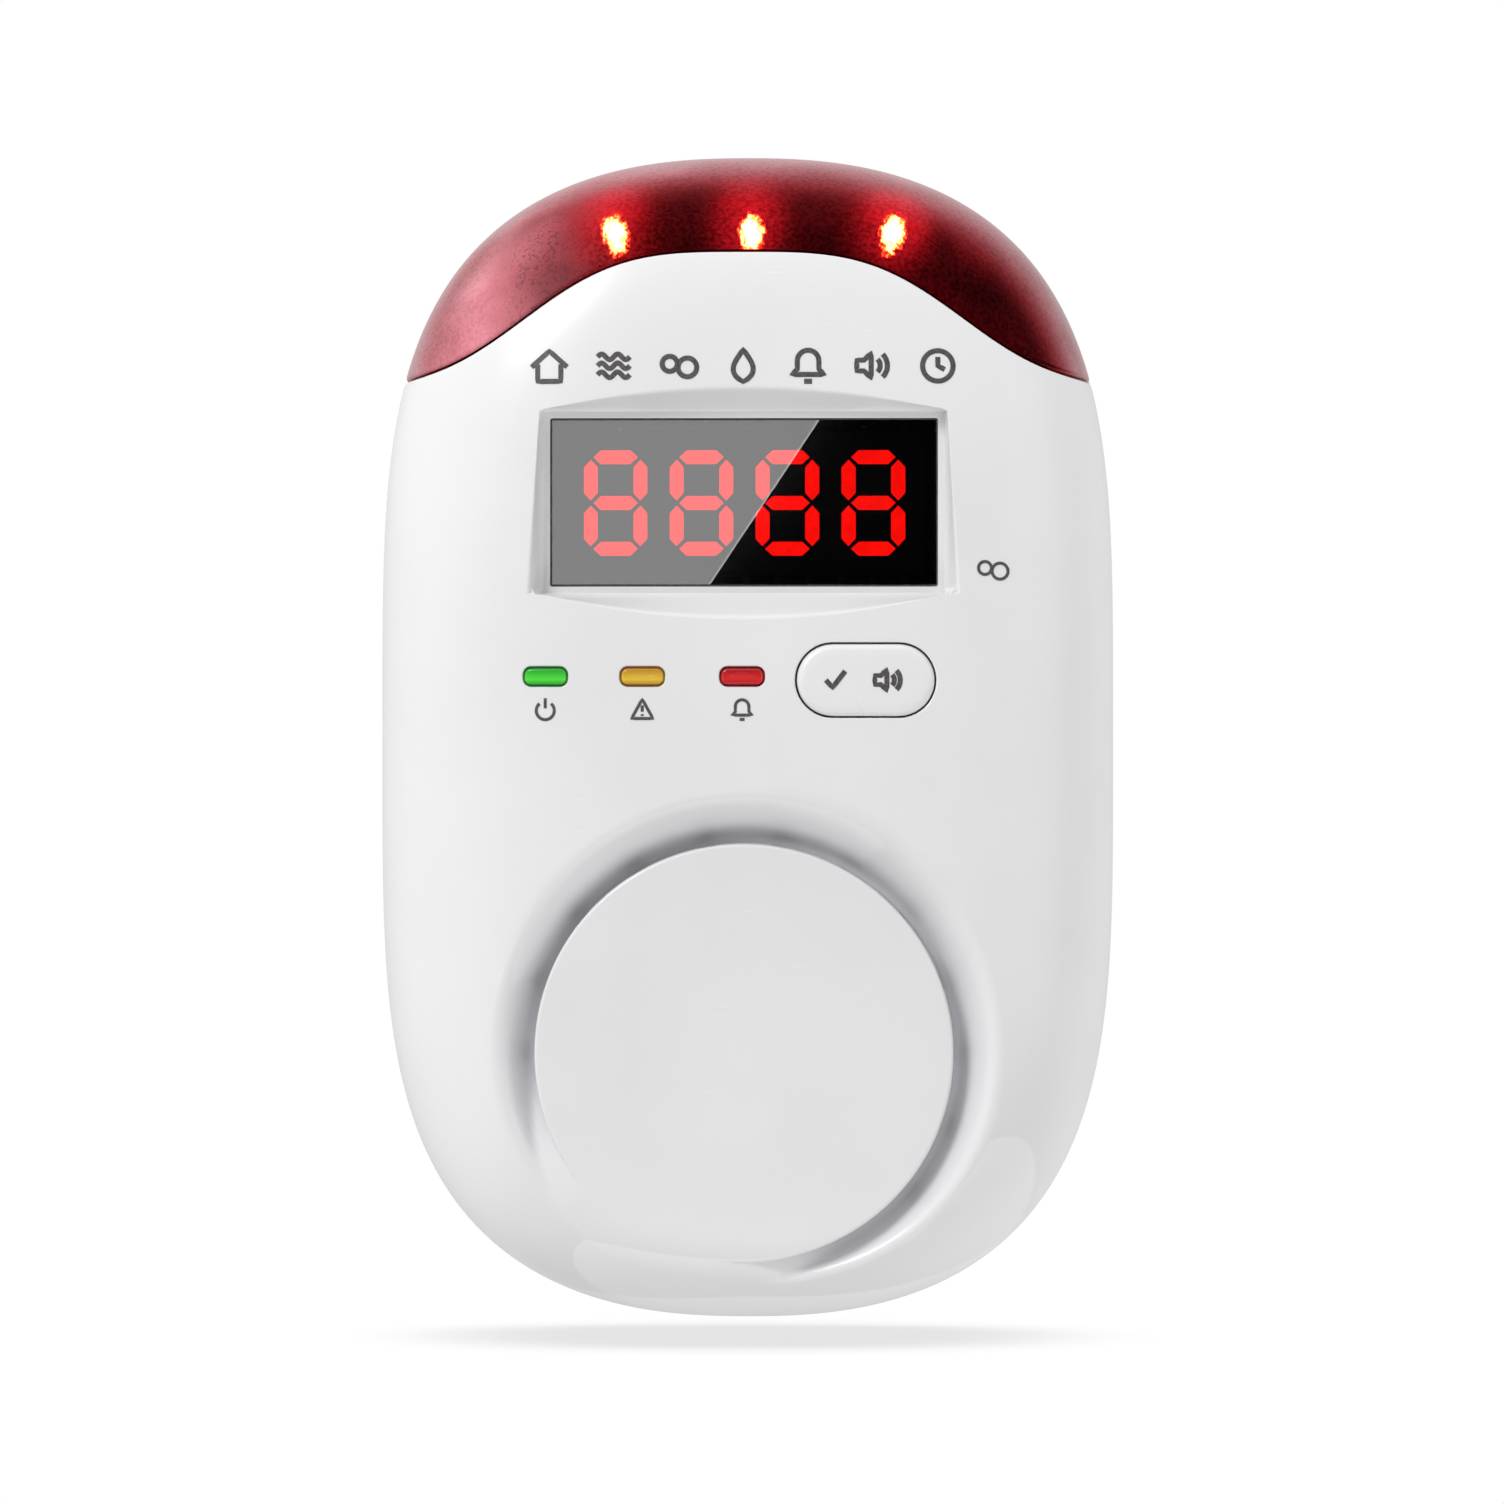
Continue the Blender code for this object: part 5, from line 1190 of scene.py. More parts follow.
def make_blade(name, finish):
    low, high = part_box(name)
    z, half_z, thick = (low.z + high.z) / 2, (high.z - low.z) / 2, high.x - low.x

    def outline(margin):
        near, far, half = low.y - margin, high.y + margin, half_z + margin
        loop = [(near, z - half), (far - BLADE_NOSE, z - half), (far, z - half + BLADE_NOSE)]
        loop += [(far, z + half - BLADE_NOSE), (far - BLADE_NOSE, z + half), (near, z + half)]
        return np.array(loop)

    def hole(margin):
        return circle_loop(BLADE_HOLE_Y, z, BLADE_HOLE_RADIUS + margin)

    solid = Solid()
    rows = [(inset, depth / thick) for inset, depth in round_rows(0.0, thick, BLADE_EDGE)]
    solid.plate(outline, rows, along_x(low.x, high.x), [hole])
    made = f"{name}_body"
    return piece(made, solid.mesh(made, angle=25.0), finish, name, slot="brass")


def cross_outline(arm, half_width):
    """A plus sign: one group of corners, turned four times."""
    corners, outline = [(arm, half_width), (half_width, half_width), (half_width, arm)], []
    for _ in range(4):
        outline += corners
        corners = [(-v, u) for u, v in corners]
    return np.array(outline)


def screw_profile(head, tip_y, top_y):
    """(radius, y) from the middle of the head to the point."""
    profile = [(share * head, top_y - depth) for share, depth in SCREW_HEAD]
    head_y = profile[-1][1]
    profile.append((SCREW_SHANK, head_y))
    for i, y in enumerate(np.arange(head_y - SCREW_NECK, tip_y + SCREW_TIP, -THREAD_STEP)):
        profile.append((SCREW_SHANK * (THREAD_ROOT if i % 2 else 1.0), y))
    return profile + [(SCREW_SHANK * SCREW_POINT, tip_y)]


def make_screw(number, finish):
    """A pan-head screw that points to -Y, with a cross recess."""
    name = f"case_screw_{number}"
    low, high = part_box(name)
    x, z = middle_of(name)
    head = (high.x - low.x) / 2
    profile = screw_profile(head, low.y, high.y)
    solid = Solid()
    rings = [circle_loop(x, z, radius, ROUND_POINTS) for radius, _ in profile]
    solid.strip([at_y(ring, y) for ring, (_, y) in zip(rings, profile)])
    solid.cap([rings[0]], at_y, high.y)
    solid.cap([rings[-1]], at_y, low.y)
    recess = Solid()
    cross = cross_outline(CROSS_ARM * head, CROSS_HALF_WIDTH * head) + (x, z)
    screw = temporary(solid, name + "_turned")
    rod(recess, cross, high.y - CROSS_DEPTH, high.y + CROSS_OUT)
    mesh = cut_out(screw, temporary(recess, name + "_recess"), angle=30.0)
    return piece(f"{name}_body", mesh, finish, name, slot="zinc_steel")


# ---------------------------------------------------------------- strobe lamps


def make_strobe_lamp(name, finish):
    """A clear lamp with a rounded tip; the outer two lean outwards like the CAD ones."""
    low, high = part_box(f"strobe_lamp_{name}")
    middle = (low + high) / 2
    side = np.sign(round(middle.x / MM))
    lean = side * LAMP_LEAN
    height, reach = (high.z - low.z) * LAMP_SHORT, LAMP_RADIUS * LAMP_SLIM
    profile = [(reach * 0.9, 0.0), (reach, 0.15 * MM), (reach, height - reach)]
    turns = np.radians(range(12, 85, 12))
    profile += [(reach * math.cos(a), height - reach * (1 - math.sin(a))) for a in turns]
    solid = Solid()
    foot_x = middle.x - math.tan(lean) * (high.z - low.z) / 2
    base = Vector((foot_x, middle.y, low.z + LAMP_LIFT))
    turn = Matrix.Translation(base) @ Matrix.Rotation(lean, 4, "Y")

    def ring(radius, rise):
        loop = circle_loop(0.0, 0.0, radius, ROUND_POINTS)
        return np.array([turn @ Vector((u, v, rise)) for u, v in loop])

    solid.strip([ring(radius, rise) for radius, rise in profile])
    for radius, rise in (profile[0], profile[-1]):
        loop = ring(radius, rise)
        index = solid.add(np.vstack([loop, loop.mean(0)]))
        count = len(loop)
        solid.faces += [(index[i], index[(i + 1) % count], index[count]) for i in range(count)]
    made = f"strobe_{name}_bulb"
    return piece(made, solid.mesh(made), finish, f"strobe_lamp_{name}", slot="clear_lamp")


# ---------------------------------------------------------------- printed marks


class Marks:
    """Thin printed lines that lie on a surface. Each icon is drawn in a box from -1 to 1."""

    def __init__(self, surface):
        self.solid, self.surface = Solid(), surface

    def line(self, points, width, closed=False):
        """A ribbon of the given width along (x, z) points, laid on the surface."""
        points = np.asarray(points, float)
        if closed:
            points = np.vstack([points, points[:1]])
        points = self.dense(points)
        ahead = np.gradient(points, axis=0)
        if closed:
            ahead[0] = ahead[-1] = points[1] - points[-2]
        ahead /= np.maximum(np.linalg.norm(ahead, axis=1, keepdims=True), 1e-12)
        across = np.stack([-ahead[:, 1], ahead[:, 0]], -1) * width / 2
        rows = [self.lay(points - across, INK), self.lay(points + across, INK)]
        rows += [self.lay(points + across, -INK), self.lay(points - across, -INK)]
        self.solid.strip(np.stack(rows, 1))
        if not closed:
            for end in (0, -1):
                index = self.solid.add([row[end] for row in rows])
                self.solid.faces.append(tuple(index))

    def dense(self, points):
        found = [points[:1]]
        for a, b in zip(points, points[1:]):
            parts = max(1, int(np.linalg.norm(b - a) / INK_STEP))
            found.append(np.array([mix(a, b, (k + 1) / parts) for k in range(parts)]))
        return np.vstack(found)

    def lay(self, points, height):
        x, z = points[:, 0], points[:, 1]
        return np.stack([x, -self.surface(x, z) - height, z], -1)

    def icon(self, strokes, x, z, size, width):
        """Draws strokes, each (points, closed), centred on (x, z)."""
        for points, closed in strokes:
            self.line(np.asarray(points) * size / 2 + (x, z), width, closed)

    def finish(self, name, ink, body="alarm"):
        return piece(name, self.solid.mesh(name, angle=60.0), ink, body=body)


def arc(x, z, radius, start, end, count=20):
    angle = np.radians(np.linspace(start, end, count))
    return np.stack([x + radius * np.cos(angle), z + radius * np.sin(angle)], -1)


def ring_stroke(x, z, radius):
    return (arc(x, z, radius, 0, 348, 30), True)


def power_icon():
    return [(arc(0, -0.1, 0.8, 130, 410, 36), False), ([(0, 0.1), (0, 1.0)], False)]


def fault_icon():
    """A triangle with a bar and a dot."""
    triangle = [(-0.95, -0.8), (0.95, -0.8), (0, 0.9)]
    return [(triangle, True), ([(0, 0.35), (0, -0.2)], False), ([(0, -0.42), (0, -0.56)], False)]


def bell_icon():
    body = [(-0.9, -0.5), (-0.6, -0.2), (-0.6, 0.25)]
    body += [tuple(p) for p in arc(0, 0.25, 0.6, 180, 0, 16)]
    body += [(0.6, -0.2), (0.9, -0.5)]
    return [(body, True), ([(-0.22, -0.88), (0.22, -0.88)], False)]


def house_icon():
    walls = [(-0.65, 0.1), (-0.65, -0.85), (0.65, -0.85), (0.65, 0.1)]
    return [(walls, False), ([(-1, -0.05), (0, 0.85), (1, -0.05)], False)]


def flame_icon():
    side = np.linspace(0, 1, 12)
    right = [(0.62 * math.sin(math.pi * t**0.8) * (1 - 0.25 * t), -0.9 + 1.8 * t) for t in side]
    left = [(-x, z) for x, z in reversed(right[1:-1])]
    return [(right + left, True)]


def gas_icon():
    """Two joined rings, for a small molecule."""
    return [ring_stroke(-0.48, 0.1, 0.42), ring_stroke(0.5, -0.1, 0.52)]


def sound_icon():
    cone = [(-0.9, 0.3), (-0.5, 0.3), (-0.1, 0.7), (-0.1, -0.7), (-0.5, -0.3), (-0.9, -0.3)]
    return [(cone, True), (arc(-0.1, 0, 0.5, -45, 45, 10), False), (arc(-0.1, 0, 0.9, -45, 45, 14), False)]


def clock_icon():
    return [ring_stroke(0, 0, 0.85), ([(0, 0.5), (0, 0), (0.38, -0.2)], False)]


def tick_icon():
    return [([(-0.6, 0.0), (-0.15, -0.5), (0.7, 0.6)], False)]


def wave_icon():
    """Three wavy lines, for gas in the air."""
    t = np.linspace(-1, 1, 26)
    return [(np.stack([t * 0.9, z + 0.16 * np.sin(t * 6.3)], -1), False) for z in (-0.5, 0.0, 0.5)]


def make_marks(ink):
    title = Marks(cover_front)
    icons = (house_icon, wave_icon, gas_icon, flame_icon, bell_icon, sound_icon, clock_icon)
    for i, icon in enumerate(icons):
        x = (i - (len(icons) - 1) / 2) * TITLE_PITCH
        title.icon(icon(), x, TITLE_Z, TITLE_SIZE, BOLD_INK)
    title.finish("title_marks", ink)
    names = {"power": power_icon, "fault": fault_icon, "alarm": bell_icon}
    for name, icon in names.items():
        mark = Marks(cover_front)
        mark.icon(icon(), PIPE_FACES[name][0], LABEL_Z, LABEL_SIZE, FINE_INK)
        mark.finish(f"{name}_mark", ink)
    unit = Marks(cover_front)
    unit.icon(gas_icon(), *UNIT_PLACE, UNIT_SIZE, FINE_INK)
    unit.finish("unit_mark", ink)
    button = Marks(lambda x, z: dome_front(x, z) + BUTTON_PROUD)
    x, z = BUTTON_FACE[:2]
    for icon, side in ((tick_icon, TICK_X), (sound_icon, SOUND_X)):
        button.icon(icon(), x + side, z, BUTTON_ICON_SIZE, BOLD_INK)
    button.finish("button_mark", ink, "button")


# ---------------------------------------------------------------- materials


class Finish:
    """A material under construction: one Principled shader fed by procedural textures."""

    def __init__(self, name, colour, roughness, **inputs):
        self.material = bpy.data.materials.new(name)
        self.material.use_nodes = True
        self.tree = self.material.node_tree
        self.shader = self.tree.nodes["Principled BSDF"]
        self.output = self.tree.nodes["Material Output"]
        self.colour = (*colour, 1)
        self.set("Base Color", self.colour)
        self.set("Roughness", roughness)
        for key, value in inputs.items():
            self.set(key.replace("_", " "), value)
        self.place = self.node("ShaderNodeTexCoord").outputs["Object"]

    def node(self, kind, settings=None, **values):
        made = self.tree.nodes.new(kind)
        for key, value in (settings or {}).items():
            setattr(made, key, value)
        for key, value in values.items():
            self.wire(made.inputs[key.replace("_", " ")], value)
        return made

    def wire(self, socket, value):
        if isinstance(value, bpy.types.NodeSocket):
            self.tree.links.new(value, socket)
        else:
            socket.default_value = value

    def set(self, key, value):
        self.wire(self.shader.inputs[key], value)

    def noise(self, size, detail=2.0, stretch=(1, 1, 1)):
        """Noise whose features are about size across; stretch lengthens them along an axis."""
        scaled = self.node("ShaderNodeVectorMath", {"operation": "MULTIPLY"})
        self.wire(scaled.inputs[0], self.place)
        self.wire(scaled.inputs[1], tuple(1 / s for s in stretch))
        made = self.node("ShaderNodeTexNoise", Vector=scaled.outputs[0], Scale=1 / size, Detail=detail)
        return made.outputs["Fac"]

    def uneven(self, size, low, high, detail=2.0, smooth=True):
        """Noise remapped so that it wanders between two values."""
        return self.remap(self.noise(size, detail), 0.3, 0.7, low, high, smooth)

    def remap(self, value, start, end, low=0.0, high=1.0, smooth=True):
        kind = {"interpolation_type": "SMOOTHSTEP" if smooth else "LINEAR"}
        made = self.node("ShaderNodeMapRange", kind)
        inputs = {"Value": value, "From Min": start, "From Max": end, "To Min": low, "To Max": high}
        for key, item in inputs.items():
            self.wire(made.inputs[key], item)
        return made.outputs["Result"]

    def maths(self, operation, *values):
        made = self.node("ShaderNodeMath", {"operation": operation})
        for socket, value in zip(made.inputs, values):
            self.wire(socket, value)
        return made.outputs[0]

    def mix(self, share, a, b, blend="MIX"):
        made = self.node("ShaderNodeMix", {"data_type": "RGBA", "blend_type": blend})
        for socket, value in zip((made.inputs[0], made.inputs[6], made.inputs[7]), (share, a, b)):
            self.wire(socket, value)
        return made.outputs[2]

    def layers(self, share, under, over):
        """Two shaders mixed, the second by the given share."""
        made = self.node("ShaderNodeMixShader", Fac=share)
        self.wire(made.inputs[1], under)
        self.wire(made.inputs[2], over)
        return made.outputs[0]

    def surface(self, shader):
        """Ends the material with the given shader instead of the plain one."""
        self.wire(self.output.inputs["Surface"], shader)
        return self.material

    def see_through(self, colour):
        return self.node("ShaderNodeBsdfTransparent", Color=colour).outputs[0]

    def gloss(self, roughness, **values):
        values = {"Color": (1, 1, 1, 1), "Roughness": roughness, **values}
        return self.node("ShaderNodeBsdfAnisotropic", **values).outputs[0]

    def axis(self, name):
        made = self.node("ShaderNodeSeparateXYZ")
        self.wire(made.inputs[0], self.place)
        return made.outputs[name]

    def gloss_share(self, ior, normal=None):
        """How much the outside of a clear piece reflects; its inside faces don't."""
        fresnel = self.node("ShaderNodeFresnel", IOR=ior)
        if normal:
            self.wire(fresnel.inputs["Normal"], normal)
        inside = self.node("ShaderNodeNewGeometry").outputs["Backfacing"]
        return self.maths("MULTIPLY", fresnel.outputs[0], self.maths("SUBTRACT", 1.0, inside))

    def seen_only(self, seen, cast):
        """One value where the camera sees the surface and another for the light it casts."""
        ray = self.node("ShaderNodeLightPath").outputs["Is Camera Ray"]
        return self.remap(ray, 0.0, 1.0, cast, seen, False)

    def bump(self, height, distance, strength=1.0, under=None):
        made = self.node("ShaderNodeBump", Strength=strength, Distance=distance, Height=height)
        if under:
            self.wire(made.inputs["Normal"], under)
        return made.outputs["Normal"]

    def worn_edges(self, colour, amount):
        """Lightens the base colour along outside edges."""
        pointed = self.node("ShaderNodeNewGeometry").outputs["Pointiness"]
        edge = self.remap(pointed, 0.55, 0.68, 0.0, amount)
        patchy = self.maths("MULTIPLY", edge, self.remap(self.noise(2 * MM), 0.35, 0.65, 0.3, 1.0))
        return self.mix(patchy, self.base, colour)

    def recess_shade_share(self, amount):
        """How much painted shade a spot gets: the amount deep in grooves and corners low down, 0 in the
        open.
        """
        sky = self.node("ShaderNodeAmbientOcclusion", {"samples": 6}, Distance=RECESS_REACH)
        low_down = self.remap(self.axis("Z"), *RECESS_HEIGHT, 0.0, amount)
        return self.maths("MULTIPLY", self.remap(sky.outputs["AO"], 0.25, 0.85, 1.0, 0.0), low_down)

    @property
    def base(self):
        """What feeds the base colour now: a socket, or the plain colour."""
        links = self.shader.inputs["Base Color"].links
        return links[0].from_socket if links else self.colour


def moulded(
    name, colour, roughness, grain=0.3 * MM, depth=0.004 * MM, edge=0.15 * MM, wear=0.4, recess=0.0, **inputs
):
    """Injection-moulded plastic: fine grain, faint flow marks, uneven gloss and soft edges.

    grain and depth are the size and height of the grain, edge the softening of hard edges, wear how much
    lighter the edges are, and recess how much painted shade darkens and dulls the recesses."""
    made = Finish(name, colour, roughness, **inputs)
    tone = made.remap(made.noise(18 * MM, 3.0), 0.3, 0.7)
    darker = tuple(c * 0.965 for c in colour) + (1,)
    made.set("Base Color", made.mix(tone, darker, made.colour))
    # painted shade: darker and duller deep in the recesses low on the cover
    painted_recess_shade = made.recess_shade_share(recess) if recess else 0.0
    if recess:
        made.set("Base Color", made.mix(painted_recess_shade, made.base, RECESS_SHADE_TINT, "MULTIPLY"))
    if wear:
        lighter = tuple(min(1, c * 1.08 + 0.01) for c in colour) + (1,)
        made.set("Base Color", made.worn_edges(lighter, wear))
    gloss = made.remap(made.noise(16 * MM, 1.0), 0.2, 0.8, roughness * 0.9, roughness * 1.12, False)
    fine = made.remap(made.noise(0.2 * MM, 1.0, (30, 1, 1)), 0.72, 0.8, 0.0, 0.05)
    dull = made.maths("MULTIPLY", painted_recess_shade, RECESS_DULL)
    made.set("Roughness", made.maths("ADD", made.maths("ADD", gloss, fine), dull))
    soft = made.node("ShaderNodeBevel", {"samples": 4}, Radius=edge).outputs[0] if edge else None
    wavy = made.bump(made.noise(4 * MM, 1.0), 0.01 * MM, 0.35, soft)
    made.set("Normal", made.bump(made.noise(grain, 2.0), depth, 0.6, wavy))
    return made


def metal(name, colour, roughness, stretch=(1, 1, 12), **inputs):
    """Metal with brushing along one axis and a slight tarnish."""
    made = Finish(name, colour, roughness, Metallic=1.0, **inputs)
    tarnish = made.remap(made.noise(3 * MM, 4.0), 0.4, 0.75, 0.0, 0.5)
    made.set("Base Color", made.mix(tarnish, made.colour, tuple(c * 0.6 for c in colour) + (1,)))
    brushed = made.noise(0.12 * MM, 2.0, stretch)
    made.set("Roughness", made.remap(brushed, 0.3, 0.7, roughness * 0.8, roughness * 1.35))
    made.set("Normal", made.bump(brushed, 0.003 * MM, 0.5))
    return made


def halo(made, lamps):
    """1 in front of a lamp, falling to 0 around it."""
    flat = made.node("ShaderNodeVectorMath", {"operation": "MULTIPLY"})
    made.wire(flat.inputs[0], made.place)
    made.wire(flat.inputs[1], (1.0, 0.0, HALO_SQUASH))
    total = 0.0
    for centre in lamps:
        gap = made.node("ShaderNodeVectorMath", {"operation": "DISTANCE"})
        made.wire(gap.inputs[0], flat.outputs[0])
        made.wire(gap.inputs[1], (centre.x, 0.0, centre.z * HALO_SQUASH))
        near = made.remap(gap.outputs["Value"], HALO_REACH, 0.0)
        total = made.maths("ADD", total, made.maths("POWER", near, 2.2))
    return total


def near_x(made, centre, reach):
    """1 at the given X, falling to 0 on both sides of it."""
    gap = made.maths("ABSOLUTE", made.maths("SUBTRACT", made.axis("X"), centre))
    return made.remap(gap, reach, reach * 0.2)


def painted_shade_patches(made, facing, patch, glow):
    """Painted shade: 1 where the lens is painted dark as if unlit inside: between the lamps and towards the
    right.
    """
    side = made.remap(made.axis("X"), *LENS_SHADE_SIDE)
    flat_on = made.remap(facing, 0.52, 0.2)
    unlit = made.remap(glow, 0.5, 0.0)
    dark = made.maths("MULTIPLY", made.maths("MULTIPLY", side, flat_on), unlit)
    return made.maths("MULTIPLY", dark, made.remap(patch, 0.3, 0.65, 0.35, 0.95))


def lens_colour(made, facing, patch, grain, painted_pale, rim, deep):
    """Blotchy red with specks, painted light paler at the left end, a painted greyish sheen at the rim, and
    painted shade in dark patches.
    """
    red = made.mix(made.remap(patch, 0.3, 0.7), *LENS_REDS)
    specks = made.maths("MULTIPLY", near_x(made, SPECKS_X, SPECKS_REACH), made.remap(grain, 0.46, 0.64))
    specks = made.maths("MULTIPLY", specks, made.remap(facing, 0.6, 0.3, 0.0, 0.65))
    body = made.mix(painted_pale, red, made.mix(rim, LENS_LIT_PALE, LENS_RIM_SHEEN))
    body = made.mix(specks, body, LENS_SPECKS)
    return made.mix(deep, body, LENS_SHADE)


def lens_haze(made, facing, grain, painted_pale):
    """How much of the lens's own colour shows over what's behind it."""
    painted_pale_haze = made.maths("MULTIPLY", painted_pale, 0.8)
    haze = made.maths("MAXIMUM", made.remap(facing, 0.1, 0.95, *LENS_HAZE), painted_pale_haze)
    return made.maths("ADD", haze, made.remap(grain, 0.35, 0.65, -0.06, 0.06))


def lens_finish(lamps):
    """Red translucent plastic: see-through in the middle, hazy towards the rim, glowing by the lamps."""
    made = Finish("red_lens_moulded", (0.7, 0.02, 0.05), 0.3, Specular_IOR_Level=0.1)
    grain, patch = made.noise(0.4 * MM, 2.0), made.noise(9 * MM, 2.0)
    facing = made.node("ShaderNodeLayerWeight", Blend=0.35).outputs["Facing"]
    # Painted light: a greyish sheen painted towards the rim, and the left end painted paler as if lit.
    rim = made.remap(facing, 0.22, 0.7, 0.0, 0.95)
    lit_left_end = made.remap(made.axis("X"), *LIT_PALE_SIDE, 0.0, 0.9)
    cloudy = made.remap(patch, 0.25, 0.75, 0.75, 1.1)
    painted_pale = made.maths("MULTIPLY", made.maths("MAXIMUM", lit_left_end, rim), cloudy)
    glow = halo(made, lamps)
    # painted shade where the lens is to look dark inside
    deep = painted_shade_patches(made, facing, patch, glow)
    bump = made.bump(grain, 0.02 * MM, 0.5, made.bump(patch, 0.3 * MM, 0.3))
    made.set("Base Color", lens_colour(made, facing, patch, grain, painted_pale, rim, deep))
    made.set("Roughness", made.remap(grain, 0.3, 0.7, 0.24, 0.4))
    made.set("Normal", bump)
    made.set("Emission Color", LENS_LIT)
    strength = made.remap(rim, 0.1, 0.8, LENS_GLOW, 0.1)
    made.set("Emission Strength", made.maths("MULTIPLY", glow, strength))
    clear = made.see_through(made.mix(deep, LENS_TINT, LENS_SHADE_TINT))
    body = made.layers(lens_haze(made, facing, grain, painted_pale), clear, made.shader.outputs[0])
    shine = made.remap(made.gloss_share(LENS_IOR, bump), 0.05, 0.7, 0.0, 0.2)
    return made.surface(made.layers(shine, body, made.gloss(LENS_GLOSS, Normal=bump)))


def window_finish():
    """Glossy smoked acrylic: dark, see-through and mirror-like, with faint wiping marks."""
    made = Finish("smoked_window_acrylic", (0.006, 0.006, 0.007), 0.05)
    wiped = made.remap(made.noise(0.5 * MM, 3.0, (9, 1, 1)), 0.6, 0.8, 0.004, 0.012)
    smudge = made.remap(made.noise(6 * MM, 3.0), 0.6, 0.9, 0.0, 0.008)
    clear = made.see_through((0.5, 0.47, 0.47, 1))
    body = made.layers(0.12, clear, made.shader.outputs[0])
    gloss = made.gloss(made.maths("ADD", wiped, smudge))
    return made.surface(made.layers(made.gloss_share(1.9), body, gloss))


def glowing(name, colour, strength, roughness=0.3, variation=0.2):
    made = Finish(name, colour, roughness)
    made.set("Emission Color", (*colour, 1))
    patchy = made.uneven(1.2 * MM, strength * (1 - variation), strength)
    made.set("Emission Strength", made.maths("MULTIPLY", patchy, made.seen_only(1.0, 0.08)))
    made.set("Roughness", made.uneven(0.3 * MM, roughness * 0.8, roughness * 1.3))
    return made


def pipe_finish(name, bright, dark, face):
    """Clear tinted plastic that glows as if lit from behind, with a painted highlight along its lower half
    and painted shade towards its top and bottom.
    """
    made = Finish(f"{name}_pipe_clear", dark, 0.12, IOR=1.5)
    _, z, _, half_z, _ = face
    up = made.remap(made.axis("Z"), z - half_z, z + half_z, 0.0, 1.0, False)
    # The ramp paints a highlight band across the lower half and darker shade towards the top and bottom.
    ramp = made.node("ShaderNodeValToRGB", Fac=up)
    stops = ramp.color_ramp.elements
    stops[0].position, stops[0].color = 0.0, (*dark, 1)
    stops[1].position, stops[1].color = 1.0, (*dark, 1)
    stops.new(0.3).color = (*bright, 1)
    stops.new(0.62).color = (*(mix(np.array(bright), np.array(dark), 0.45)), 1)
    made.set("Base Color", ramp.outputs["Color"])
    made.set("Emission Color", ramp.outputs["Color"])
    made.set("Emission Strength", made.seen_only(0.38, 0.05))
    made.set("Roughness", made.uneven(0.4 * MM, 0.08, 0.2))
    made.set("Normal", made.bump(made.noise(0.8 * MM), 0.01 * MM, 0.4))
    return made.material


def lamp_finish(centre, height):
    """A lit lamp: a white-yellow spindle with a ragged red edge."""
    made = Finish("strobe_lamp_lit", (1.0, 0.9, 0.7), 0.15)
    along = made.remap(made.axis("Z"), centre.z - height / 2, centre.z + height / 2, -1.0, 1.0, False)
    facing = made.node("ShaderNodeLayerWeight", Blend=0.5).outputs["Facing"]
    level = made.maths("POWER", made.maths("SUBTRACT", 1.0, facing), 2.0)
    ragged = made.remap(made.noise(0.5 * MM, 3.0), 0.3, 0.7, -0.28, 0.22)
    taper = made.maths("POWER", made.maths("ABSOLUTE", along), 1.4)
    inside = made.maths("SUBTRACT", made.maths("ADD", level, ragged), taper)
    glow = made.maths("POWER", made.maths("MAXIMUM", inside, 0.0), 3.0)
    made.set("Emission Color", (1.0, 0.76, 0.09, 1))
    made.set("Emission Strength", made.maths("MULTIPLY", glow, made.seen_only(LAMP_SEEN, LAMP_CAST)))
    return made.material


def board_finish():
    """Green circuit board with copper tracks under the lacquer."""
    made = Finish("circuit_board_green", (0.012, 0.12, 0.04), 0.3, Coat_Weight=0.4)
    black, white = (0, 0, 0, 1), (1, 1, 1, 1)
    bricks = {"Color1": black, "Color2": black, "Mortar": white, "Mortar_Size": 0.06}
    tracks = made.node("ShaderNodeTexBrick", Vector=made.place, Scale=160.0, **bricks)
    pads = made.node("ShaderNodeTexVoronoi", Vector=made.place, Scale=420.0)
    dots = made.remap(pads.outputs["Distance"], 0.16, 0.12)
    green = made.mix(tracks.outputs["Color"], made.colour, (0.03, 0.26, 0.09, 1))
    made.set("Base Color", made.mix(made.maths("MULTIPLY", dots, 0.8), green, (0.62, 0.6, 0.56, 1)))
    made.set("Metallic", made.maths("MULTIPLY", dots, 0.8))
    made.set("Normal", made.bump(tracks.outputs["Color"], 0.03 * MM, 0.5))
    return made.material


def ink_finish():
    made = Finish("printed_ink", (0.075, 0.068, 0.068), 0.5)
    patchy = made.uneven(0.2 * MM, 0.0, 1.0)
    made.set("Base Color", made.mix(patchy, (0.055, 0.05, 0.05, 1), (0.11, 0.1, 0.1, 1)))
    made.set("Roughness", made.uneven(0.15 * MM, 0.4, 0.65))
    return made.material


def striped(name, colour, line, pitch, roughness):
    """Plastic with fine parallel lines, for windings and ribbon cable."""
    made = Finish(name, colour, roughness)
    wave = made.node("ShaderNodeTexWave", {"bands_direction": "X"}, Vector=made.place, Scale=0.05 / pitch)
    made.set("Base Color", made.mix(wave.outputs["Fac"], (*line, 1), made.colour))
    made.set("Roughness", made.uneven(0.5 * MM, roughness * 0.8, roughness * 1.2))
    made.set("Normal", made.bump(wave.outputs["Fac"], 0.1 * MM, 0.6))
    return made.material


def repaint(finish, *nodes):
    """Gives CAD nodes a material of their own."""
    for name in nodes:
        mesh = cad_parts[name].data
        mesh.materials.clear()
        mesh.materials.append(finish)


# ---------------------------------------------------------------- camera, light and floor


